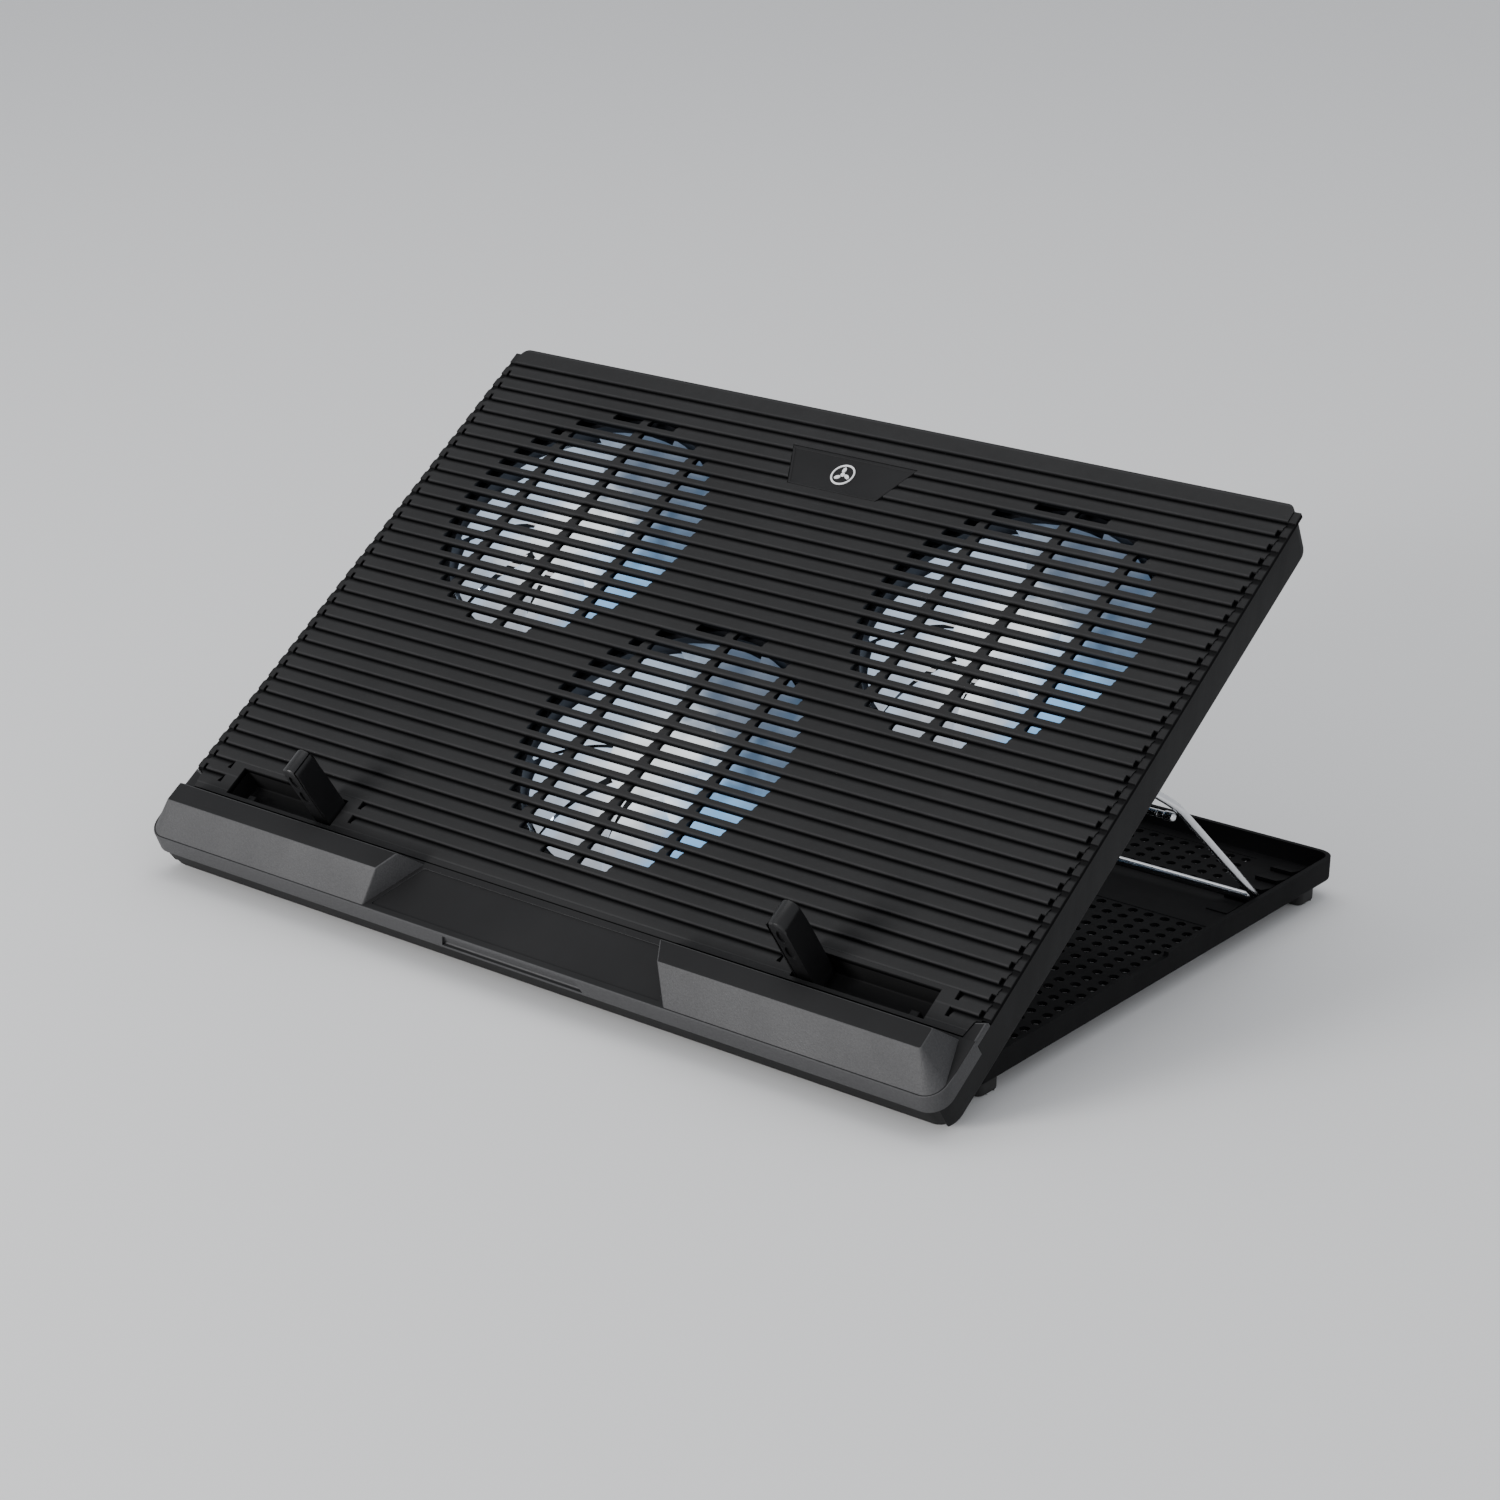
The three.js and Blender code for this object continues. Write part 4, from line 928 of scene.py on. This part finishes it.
# ---- fans: frame with struts and lamps, rotor with swept blades
fan = {
    "bottom": 2.5, "outer": 65.5, "inner": 62.3, "height": 12.0, "strutWidth": 5.0, "seat": 18.0,
    "stator": 14.0,
    "hub": 20.0, "hubWall": 2.0, "rotorLow": 5.1, "rotorHigh": 15.5, "bladeCount": 9, "bladeReach": 60.3,
    "bladeSweep": 16.0, "bladeChord": 47.0, "bladeThickness": 1.1, "lampRadius": 2.4, "lampAt": 55.0,
}


def makeFanFrame():
    f = fan
    zMid = f["bottom"] + f["height"] / 2
    ring = addRod("fanFrame", f["outer"], f["height"], (0, 0, zMid), sides=72)
    bevelEdges(ring, lambda e: len(e.link_faces) == 2 and any(abs(x.normal.z) > 0.9 for x in e.link_faces)
               and not all(abs(x.normal.z) > 0.9 for x in e.link_faces), 0.8, 2)
    combine(ring, addRod("throat", f["inner"], f["height"] + 2, (0, 0, zMid), sides=72))
    top1 = f["bottom"] + 1.8
    arms = []
    for k in range(4):
        arm = addBlock("arm", (f["seat"] - 3, f["outer"] - 1), (-f["strutWidth"] / 2, f["strutWidth"] / 2),
                       (f["bottom"], top1))
        stretch(arm, "VERT", lambda v: v.co.x > 30, (1, 0.6, 1), (0, 0, 0))
        arm.data.transform(Matrix.Rotation(math.radians(45 + 90 * k), 4, "Z"))
        arms.append(arm)
    seat = addRod("seat", f["seat"], 1.8, (0, 0, f["bottom"] + 0.9), sides=48)
    stator = addRod("stator", f["stator"], 7, (0, 0, f["bottom"] + 3.5), sides=48)
    bevelEdges(stator, lambda e: middle(e).z > f["bottom"] + 6.9, 0.8, 2)
    for part in arms + [seat, stator]:
        combine(ring, part, "UNION")
    return ring


def makeFanLamps():
    f = fan
    lamps = []
    for k in range(4):
        a = math.radians(45 + 90 * k)
        bpy.ops.object.select_all(action="DESELECT")
        bpy.ops.mesh.primitive_uv_sphere_add(segments=20, ring_count=12, radius=f["lampRadius"],
                                             location=(f["lampAt"] * math.cos(a), f["lampAt"] * math.sin(a),
                                                       f["bottom"] + 1.6))
        lamp = named("lamp")
        lamp.scale = (1, 1, 0.8)
        lamps.append(applyPlace(lamp))
    return joinAll(lamps, "fanLamps")


def makeBlade():
    f = fan
    bpy.ops.object.select_all(action="DESELECT")
    bpy.ops.mesh.primitive_grid_add(x_subdivisions=9, y_subdivisions=7, size=1)
    blade = named("blade")
    rise = f["rotorHigh"] - 1.4 - (f["rotorLow"] + 0.6)
    for v in blade.data.vertices:  # u runs out along the blade, w across its chord
        u, w = v.co.x + 0.5, v.co.y
        r = f["hub"] - 0.6 + u * (f["bladeReach"] - f["hub"] + 0.6)
        chord = math.radians(f["bladeChord"] * (1 - 0.06 * u))
        sweep = math.radians(f["bladeSweep"]) * u ** 1.4
        a = sweep + w * chord
        camber = 1.3 * (1 - (2 * w) ** 2) * (0.4 + 0.6 * u)
        v.co = (r * math.cos(a), r * math.sin(a),
                f["rotorLow"] + 0.6 + (w + 0.5) * rise * (1 - 0.2 * u) + camber * 0.5)
    modify(blade, "SOLIDIFY", thickness=f["bladeThickness"], offset=0)
    return blade


def makeRotor():
    f = fan
    mid = (f["rotorLow"] + f["rotorHigh"]) / 2
    hub = addRod("fanRotor", f["hub"], f["rotorHigh"] - f["rotorLow"], (0, 0, mid), sides=64)
    bevelEdges(hub, lambda e: middle(e).z > f["rotorHigh"] - 0.01, 1.6, 4)
    pick(hub, "FACE", lambda x: x.normal.z > 0.9)
    bpy.ops.mesh.inset(thickness=4.0)
    bpy.ops.mesh.inset(thickness=0.6, depth=-0.5)
    leave()
    cavity = addRod("cavity", f["hub"] - f["hubWall"], f["rotorHigh"] - f["rotorLow"], (0, 0, mid - 1.6),
                    sides=48)
    combine(hub, cavity)
    blade = makeBlade()
    blades = []
    for k in range(f["bladeCount"]):
        one = copyOf(blade, "blade")
        one.data.transform(Matrix.Rotation(2 * math.pi * k / f["bladeCount"], 4, "Z"))
        blades.append(one)
    bpy.data.objects.remove(blade)
    shaft = addRod("shaft", 1.5, 11.5, (0, 0, 9.5), sides=16)
    return joinAll([hub, shaft] + blades, "fanRotor")


def makeFans():
    frameMaster, lampMaster, rotorMaster = makeFanFrame(), makeFanLamps(), makeRotor()
    for name in top["fans"]:
        x, y = fanCentre(name)
        move = (x, y, 0)
        centre = deckMatrix @ Vector((x, y, 9))
        # painted glow for this rotor, centred on its fan
        glow = paintedGlowBlade(f"lit_rotor_{name}", centre)
        piece = copyOf(frameMaster, f"fanFrame_{name}", move)
        putDown(piece, deckMatrix, "deck", finishes["frame"], [f"fan_frame_{name}"])
        putDown(copyOf(lampMaster, f"fanLamps_{name}", move), deckMatrix, "deck", finishes["lens"])
        rotor = copyOf(rotorMaster, f"fanRotor_{name}", move)
        putDown(rotor, deckMatrix, f"{name}_rotor", glow, [f"fan_rotor_{name}"])
    for master in (frameMaster, lampMaster, rotorMaster):
        bpy.data.objects.remove(master)
    print("fans made")


makeFans()


# ---- flip-up stops, their pockets and pins
stop = {"length": 42.0, "thickness": 8.5, "knuckle": 4.7, "front": 32.6, "rear": 44.2, "axisX": 124.5,
        "axisZ": 13.8,
        "bore": 1.5, "padThickness": 1.0, "padLine": 0.25, "ovalLong": 7.5, "ovalWide": 4.2, "ovalDepth": 0.8}
pocket = {"wall": 1.6, "depth": 13.2, "ledgeTop": 16.5, "postX": 171.5, "postWidth": 4.0}


def makeStop():  # modelled for the right side, standing
    s = stop
    half = s["thickness"] / 2
    x0 = s["axisX"]
    arm = addBlock("stopArm", (x0 - half, x0 + half), (s["front"], s["rear"]),
                   (s["axisZ"], s["axisZ"] + s["length"]))
    bevelEdges(arm, lambda e: along(e, 1) and middle(e).z > s["axisZ"] + s["length"] - 0.1, half - 0.02, 10)
    barrel = addRod("knuckle", s["knuckle"], s["rear"] - s["front"],
                    (x0, (s["front"] + s["rear"]) / 2, s["axisZ"]), "Y", 48)
    combine(arm, barrel, "UNION")
    grooveX = x0 - half + s["padThickness"]
    groove = addBlock("padLine", (grooveX, grooveX + s["padLine"]), (s["front"] - 1, s["front"] + 0.3),
                      (s["axisZ"] + 5, s["axisZ"] + s["length"] + 1))
    back = copyOf(groove, "padLine", (0, s["rear"] - s["front"] + 0.7, 0))
    over = addBlock("padLine", (grooveX, grooveX + s["padLine"]), (s["front"] - 1, s["rear"] + 1),
                    (s["axisZ"] + s["length"] - 2.35, s["axisZ"] + s["length"] + 1))
    for cut in (groove, back, over):
        combine(arm, cut)
    for z in (s["axisZ"] + 33.5, s["axisZ"] + 23.5):  # oval dimples on the narrow front face
        oval = addRod("oval", s["ovalWide"] / 2, 2 * s["ovalDepth"], (x0 + 0.6, s["front"], z), "Y", 28)
        stretch(oval, "VERT", lambda v: True, (1, 1, s["ovalLong"] / s["ovalWide"]), (x0, s["front"], z))
        combine(arm, oval)
    combine(arm, addRod("bore", s["bore"], 20, (x0, 38.4, s["axisZ"]), "Y", 20))
    bevelEdges(arm, lambda e: middle(e).z > s["axisZ"] + s["length"] - half
               and e.calc_face_angle(0) > math.radians(60)
               and abs(middle(e).y - 38.4) > 5.7 and e.calc_length() > 0.4, 0.9, 4)
    soften(arm, 0.3, 2, 50)
    return arm


def makePocket():
    p, s = pocket, stop
    x, y = top["pocket"]["x"], top["pocket"]["y"]
    floor = top["surface"] - p["depth"] - p["wall"]
    cup = addBlock("stopPocket", (x[0] - p["wall"], x[1] + p["wall"]),
                   (y[0] - p["wall"] + 0.3, y[1] + p["wall"]), (floor, 18.9))
    hollow = addBlock("hollow", x, y, (floor + p["wall"], 20))
    bevelEdges(hollow, lambda e: middle(e).z < floor + p["wall"] + 0.1, 0.8, 3)
    combine(cup, hollow)
    post = addBlock("post", (p["postX"] - p["postWidth"] / 2, p["postX"] + p["postWidth"] / 2),
                    (y[0] - 0.5, y[0] + 5.2),
                    (floor + p["wall"] - 0.5, p["ledgeTop"]))
    bevelEdges(post, lambda e: middle(e).z > p["ledgeTop"] - 0.1, 0.7, 3)
    combine(cup, post, "UNION")
    combine(cup, addRod("bore", s["bore"], 40, (s["axisX"], 38.4, s["axisZ"]), "Y", 20))
    return cup


def makeStops():
    arm, cup = makeStop(), makePocket()
    rod = addRod("stopPin", 1.2, pocket["wall"] * 2 + top["pocket"]["y"][1] - top["pocket"]["y"][0] - 0.3,
                 (stop["axisX"], (top["pocket"]["y"][0] + top["pocket"]["y"][1]) / 2 + 0.15, stop["axisZ"]),
                 "Y", 24)
    bevelEdges(rod, lambda e: not along(e, 1), 0.25, 2)
    for name, s in sides.items():
        for master, label, body, finish, node, slotName in (
                (arm, "stopArm", f"{name}_stop", "lever", f"stop_{name}", "shell"),
                (cup, "stopPocket", "deck", "shell", f"stop_well_{name}", "shell"),
                (rod, "stopPin", "deck", "pinSteel", f"stop_pin_{name}", "steel")):
            piece = copyOf(master, f"{label}_{name}", mirrorX=s < 0)
            putDown(piece, deckMatrix, body, finishes[finish], [node], 35)
    for master in (arm, cup, rod):
        bpy.data.objects.remove(master)
    print("stops made")


makeStops()


# ---- bent wire and its brace
wire = {"radius": 1.75, "legX": 193.0, "shoulderX": 171.0, "endX": 160.0, "rise": 27.0, "bend": 7.0,
        "braceRadius": 1.5, "braceGap": 0.3, "domeRadius": 1.95, "domeLength": 5.6}


def makeWire():
    w = wire
    length = math.hypot(barAt.y - pivotAt.y, barAt.z - pivotAt.z) / mm
    right = [Vector((w["endX"], 0, 0)), Vector((w["shoulderX"], 0, 0)), Vector((w["legX"], w["rise"], 0)),
             Vector((w["legX"], length, 0))]
    corners = right + [Vector((-p.x, p.y, 0)) for p in reversed(right)]
    points = [corners[0]]
    for before, at, after in zip(corners, corners[1:], corners[2:]):
        a = at + (before - at).normalized() * w["bend"]
        b = at + (after - at).normalized() * w["bend"]
        for k in range(9):
            t = k / 8
            points.append(a * (1 - t) ** 2 + at * 2 * t * (1 - t) + b * t * t)
    points.append(corners[-1])
    bpy.ops.object.select_all(action="DESELECT")
    bpy.ops.curve.primitive_nurbs_path_add()
    line = bpy.context.active_object
    line.data.splines.clear()
    spline = line.data.splines.new("POLY")
    spline.points.add(len(points) - 1)
    for point, co in zip(spline.points, points):
        point.co = (*co, 1)
    line.data.bevel_depth = w["radius"]
    line.data.bevel_resolution = 6
    line.data.use_fill_caps = True
    line.data.twist_mode = "Z_UP"
    bpy.ops.object.convert(target="MESH")
    piece = named("propWire")
    putDown(piece, wireMatrix, "prop", finishes["steel"], ["prop_wire"], 50)

    drop = -(w["radius"] + w["braceRadius"] + w["braceGap"])
    y = w["rise"] + 5
    brace = addRod("propBrace", w["braceRadius"], 2 * (w["legX"] - 3), (0, y, drop), "X", 24)
    domes = []
    for s in (-1, 1):
        x1 = s * (w["legX"] - 0.5)
        for radius, length, x in ((w["domeRadius"], w["domeLength"], x1 - s * w["domeLength"] / 2),
                                  (w["domeRadius"] - 0.35, 1.6, x1 - s * (w["domeLength"] + 2.4))):
            dome = addRod("dome", radius, length, (x, y, drop), "X", 32)
            bevelEdges(dome, lambda e: not along(e, 0), min(radius, length / 2) * 0.82, 6)
            domes.append(dome)
    brace = joinAll([brace] + domes, "propBrace")
    putDown(brace, wireMatrix, "prop", finishes["steel"], ["prop_brace"], 50)


makeWire()
print("wire made")

block = {"x": (156.0, 165.0), "half": 5.0, "drop": 3.1, "below": 3.0, "y": 172.7}


def makeBlocks():
    b = block
    master = addBlock("propBlock", b["x"], (b["y"] - b["half"], b["y"] + b["half"]),
                      (-b["drop"] - b["below"], -0.3))
    bevelEdges(master, lambda e: along(e, 0) and middle(e).z < -3, 2.6, 6)
    combine(master, addRod("bore", 2.05, 20, (b["x"][1] - 9 + 11, b["y"], -b["drop"]), "X", 24))
    soften(master, 0.3, 2, 50)
    for name, s in sides.items():
        piece = copyOf(master, f"propBlock_{name}", mirrorX=s < 0)
        putDown(piece, deckMatrix, "deck", finishes["shell"], [f"prop_block_{name}"], 35)
    bpy.data.objects.remove(master)


makeBlocks()
print("pivot blocks made")


# ---- base tray
tray = {
    "halfWidth": 197.5, "front": -8.0, "rear": 267.3, "corner": 8.0, "bottom": 8.0, "rim": 18.5,
    "floor": 10.0, "wall": 2.2,
    "holeRadius": 2.15, "holePitch": (7.64, 8.02), "sink": 0.2, "channel": (181.0, 216.0),
    "channelHalf": 174.0, "channelDepth": 0.9,
    "fields": [(24, 14.6, 21), (21, 223.2, 5)],  # holes each side of the middle, first row, rows
    "rackX": (175.5, 185.5), "rackFrom": 195.5, "toothLead": 3.0, "toothPitch": 13.0, "teeth": 4,
    "toothLand": 4.0,
    "toothHeight": 2.3, "bed": 0.5, "barSetback": 207.5,
    "earX": 150.0, "lugHalf": 7.6, "earWidth": 6.0, "earRadius": 3.8, "hingeZ": 14.2, "bore": 1.8,
    "thumb": (99.0, 128.0), "thumbDepth": 1.7,
}


def makeTray():
    t = tray
    w = t["halfWidth"]
    piece = roundedBlock("baseTray", (-w, w), (t["front"], t["rear"]), (t["bottom"], t["rim"]), t["corner"],
                         8)
    bevelEdges(piece, lambda e: middle(e).z < t["bottom"] + 0.1 and not along(e, 2), 1.4, 3)
    inner = roundedBlock("inner", (-w + t["wall"], w - t["wall"]),
                         (t["front"] + t["wall"], t["rear"] - t["wall"]),
                         (t["floor"], t["rim"] + 1), t["corner"] - t["wall"], 6)
    bevelEdges(inner, lambda e: middle(e).z < t["floor"] + 0.1 and not along(e, 2), 0.8, 2)
    combine(piece, inner)
    # the front rim slopes so that the raised deck clears it
    slope = math.tan(math.radians(deckPlace["tilt"]))
    clear = t["hingeZ"] + deckPlace["drop"] / math.cos(math.radians(deckPlace["tilt"])) - 1
    ramp = addBlock("frontSlope", (-w - 1, w + 1), (t["front"] - 20, 0), (clear, t["rim"] + 5))
    shift(ramp, "VERT", lambda v: v.co.z < clear + 0.1 and v.co.y < -1, (0, 0, (t["front"] - 20) * slope))
    combine(piece, ramp)
    racks = []
    for s in (-1, 1):
        x = sorted(s * v for v in t["rackX"])
        end = t["barSetback"] + t["toothLead"] + t["teeth"] * t["toothPitch"]
        racks.append((x, (t["rackFrom"], end), (t["floor"] - 0.5, t["floor"] + t["bed"])))
        for k in range(t["teeth"]):
            y = t["barSetback"] + t["toothLead"] + k * t["toothPitch"]
            racks.append((x, (y, y + t["toothLand"] + 4), (t["floor"] - 0.4, t["floor"] + t["toothHeight"])))
    for x, y, z in racks:
        tooth = addBlock("rack", x, y, z)
        if z[1] > t["floor"] + 1:  # the rear of a tooth slopes down
            shift(tooth, "VERT", lambda v: v.co.y > y[1] - 0.1 and v.co.z > z[1] - 0.1,
                  (0, 0, t["bed"] - t["toothHeight"]))
        combine(piece, tooth, "UNION")
    px, py = t["holePitch"]
    grids = []
    for half, first, rows in t["fields"]:
        x, y = (half + 0.5) * px, (first - py / 2, first + (rows - 0.5) * py)
        combine(piece, addBlock("window", (-x + 0.3, x - 0.3), (y[0] + 0.3, y[1] - 0.3),
                                (t["bottom"] - 1, t["floor"] + 1)))
        cell = addBlock("cell", (-x, -x + px), (y[0], y[0] + py),
                        (t["bottom"] + t["sink"], t["floor"] - t["sink"]))
        combine(cell, addRod("hole", t["holeRadius"], 6, (-x + px / 2, y[0] + py / 2, 9), sides=14))
        pick(cell, "FACE", lambda f: abs(f.normal.z) < 0.1 and len(f.verts) == 4 and f.calc_area() > 4)
        bpy.ops.mesh.delete(type="ONLY_FACE")
        leave()
        modify(cell, "ARRAY", count=2 * half + 1, use_relative_offset=False, use_constant_offset=True,
               constant_offset_displace=(px, 0, 0), use_merge_vertices=True, merge_threshold=0.01)
        modify(cell, "ARRAY", count=rows, use_relative_offset=False, use_constant_offset=True,
               constant_offset_displace=(0, py, 0), use_merge_vertices=True, merge_threshold=0.01)
        grids.append(cell)
    channel = roundedBlock("channel", (-t["channelHalf"], t["channelHalf"]), t["channel"],
                           (t["floor"] - t["channelDepth"], t["floor"] + 1), 3.0, 4)
    combine(piece, channel)
    for s in (-1, 1):
        for k in (-1, 1):
            near = s * t["earX"] + k * t["lugHalf"]
            x = sorted((near, near + k * t["earWidth"]))
            ear = addBlock("ear", x, (-t["earRadius"], t["earRadius"]), (t["floor"] - 0.5, t["hingeZ"]))
            combine(ear, addRod("knuckle", t["earRadius"], t["earWidth"], (sum(x) / 2, 0, t["hingeZ"]), "X",
                                40), "UNION")
            combine(piece, ear, "UNION")
        combine(piece, addRod("bore", t["bore"], 30, (s * t["earX"], 0, t["hingeZ"]), "X", 24))
        thumb = addBlock("thumbCut", sorted((s * (w - 5), s * (w + 1))), t["thumb"],
                         (t["rim"] - t["thumbDepth"], t["rim"] + 1))
        bevelEdges(thumb, lambda e: along(e, 0) and middle(e).z < t["rim"], 1.2, 4)
        combine(piece, thumb)

    piece = joinAll([piece] + grids, "baseTray")
    putDown(piece, trayMatrix, "base", finishes["tray"], ["base_tray"], 35)
    print("tray: ", len(piece.data.polygons), "faces")


makeTray()

foot = {"width": 15.0, "length": 13.0, "insetX": 4.0, "insetY": 10.0, "radius": 3.0, "top": 7.7}


def makeFeet():
    f = foot
    x1 = tray["halfWidth"] - f["insetX"]
    master = roundedBlock("foot", (x1 - f["width"], x1), (0, f["length"]), (0, f["top"]), f["radius"], 6)
    bevelEdges(master, lambda e: middle(e).z < 0.1 and not along(e, 2), 1.0, 3)
    pick(master, "FACE", lambda face: face.normal.z < -0.99)
    bpy.ops.mesh.inset(thickness=2.2)
    bpy.ops.mesh.inset(thickness=0.5, depth=-0.5)
    leave()
    fronts = {"front": tray["front"] + f["insetY"], "rear": tray["rear"] - f["insetY"] - f["length"]}
    for end, y in fronts.items():
        for name, s in sides.items():
            piece = copyOf(master, f"foot_{end}_{name}", (0, y, 0), mirrorX=s < 0)
            putDown(piece, trayMatrix, "base", finishes["rubber"], [f"base_foot_{end}_{name}"], 35)
    bpy.data.objects.remove(master)


def makeHingePins():
    half = tray["lugHalf"] + tray["earWidth"]
    for name, s in sides.items():
        pin = addRod(f"hingePin_{name}", 1.5, 2 * half, (s * tray["earX"], 0, tray["hingeZ"]), "X", 28)
        bevelEdges(pin, lambda e: not along(e, 0), 0.35, 3)
        putDown(pin, trayMatrix, "base", finishes["pinSteel"], [f"hinge_pin_{name}"], 40)


makeFeet()
makeHingePins()
print("feet and pins made")


# ---- sockets, switch and board in the rear wall
def makeSockets():
    rear, z0 = pan["rear"], socketRow["floor"]
    for name, (x, width, height) in zip(sides, socketRow["usb"]):
        case = addBlock(f"usbSocket_{name}", (x - width / 2, x + width / 2), (rear - 17.4, rear),
                        (z0, z0 + height))
        bevelEdges(case, lambda e: along(e, 1), 0.7, 3)
        pick(case, "FACE", lambda f: f.normal.y > 0.99)
        bpy.ops.mesh.inset(thickness=0.9)
        bpy.ops.mesh.extrude_region_move(TRANSFORM_OT_translate={"value": (0, -11.5, 0)})
        leave()
        tongue = addBlock("tongue", (x - 5.2, x + 5.2), (rear - 12.4, rear - 2.4),
                          (z0 + height / 2 + 0.2, z0 + height / 2 + 1.7))
        bevelEdges(tongue, lambda e: middle(e).y > rear - 2.5, 0.3, 2)
        blades = [addBlock("contact", (x + k * 2.3 - 0.5, x + k * 2.3 + 0.5), (rear - 11.5, rear - 3.4),
                           (z0 + height / 2 - 0.02, z0 + height / 2 + 0.25)) for k in (-1.5, -0.5, 0.5, 1.5)]
        count = len(case.data.polygons)
        socket = joinAll([case, tongue] + blades, f"usbSocket_{name}")
        putDown(socket, deckMatrix, "deck", [finishes["pinSteel"], finishes["panel"], finishes["contact"]],
                [f"usb_socket_{name}"], 35)
        tongueFaces = len(socket.data.polygons) - count - 4 * 6
        paint(socket, lambda f: f.index >= count, 1)
        paint(socket, lambda f: f.index >= count + tongueFaces, 2)


def makeSwitch():
    x, width, height = socketRow["switch"]
    rear, z0 = pan["rear"], socketRow["floor"]
    case = addBlock("switchHousing", (x - width / 2, x + width / 2), (rear - 14.7, rear), (z0, z0 + height))
    bevelEdges(case, lambda e: along(e, 1), 0.6, 3)
    pick(case, "FACE", lambda f: f.normal.y > 0.99)
    bpy.ops.mesh.inset(thickness=1.4)
    bpy.ops.mesh.extrude_region_move(TRANSFORM_OT_translate={"value": (0, -10.7, 0)})
    leave()
    soften(case, 0.2, 2, 50)
    putDown(case, deckMatrix, "deck", finishes["lever"], ["switch_housing"], 35)

    half = height / 2 - 2.1
    key = addBlock("switchRocker", (x - width / 2 + 1.8, x + width / 2 - 1.8), (-4.2, 1.8), (-half, half))
    pick(key, "FACE", lambda f: True)
    bpy.ops.mesh.bisect(plane_co=(0, 0, 0), plane_no=(0, 0, 1))
    leave()
    shift(key, "VERT", lambda v: abs(v.co.z) < 0.01 and v.co.y > 0, (0, -0.6, 0))
    stretch(key, "VERT", lambda v: v.co.y < -4, (1, 1, 0.5), (0, 0, 0))
    soften(key, 0.2, 2, 30)
    bar = addBlock("onMark", (x - 0.25, x + 0.25), (1.2, 1.85), (0.9, half - 0.4))
    key = joinAll([key, bar], "switchRocker")
    key.data.transform(Matrix.Translation((0, rear - 3.4,
                                           z0 + height / 2)) @ Matrix.Rotation(math.radians(-8), 4, "X"))
    putDown(key, deckMatrix, "rocker", finishes["lever"], ["switch_rocker"], 35)


def makeBoard():
    rear = pan["rear"] - pan["wall"] - 0.3
    board = addBlock("circuitBoard", (-34, 34), (rear - 29, rear), (4.0, 5.6))
    bevelEdges(board, lambda e: along(e, 2), 1.5, 4)
    putDown(board, deckMatrix, "deck", finishes["board"], ["circuit_board"], 35)


def makeScrews():
    head = addRod("screw", 3.2, 1.3, (0, 0, 0.75), sides=32)
    bevelEdges(head, lambda e: middle(e).z < 0.11, 0.4, 3)
    for size in ((3.6, 0.7), (0.7, 3.6)):
        combine(head, addBlock("cross", (-size[0] / 2, size[0] / 2), (-size[1] / 2, size[1] / 2), (-1, 0.75)))
    shaft = addRod("shaft", 1.2, 5.2, (0, 0, 3.4), sides=20)
    master = joinAll([head, shaft], "screw")
    number = 1
    for s in (-1, 1):
        for x, y in pan["screws"]:
            piece = copyOf(master, f"deckScrew_{number}", (s * x, y, 0))
            putDown(piece, deckMatrix, "deck", finishes["pinSteel"], [f"deck_screw_{number}"], 35)
            number += 1
    bpy.data.objects.remove(master)


makeSockets()
makeSwitch()
makeBoard()
makeScrews()
print("electrics and screws made")
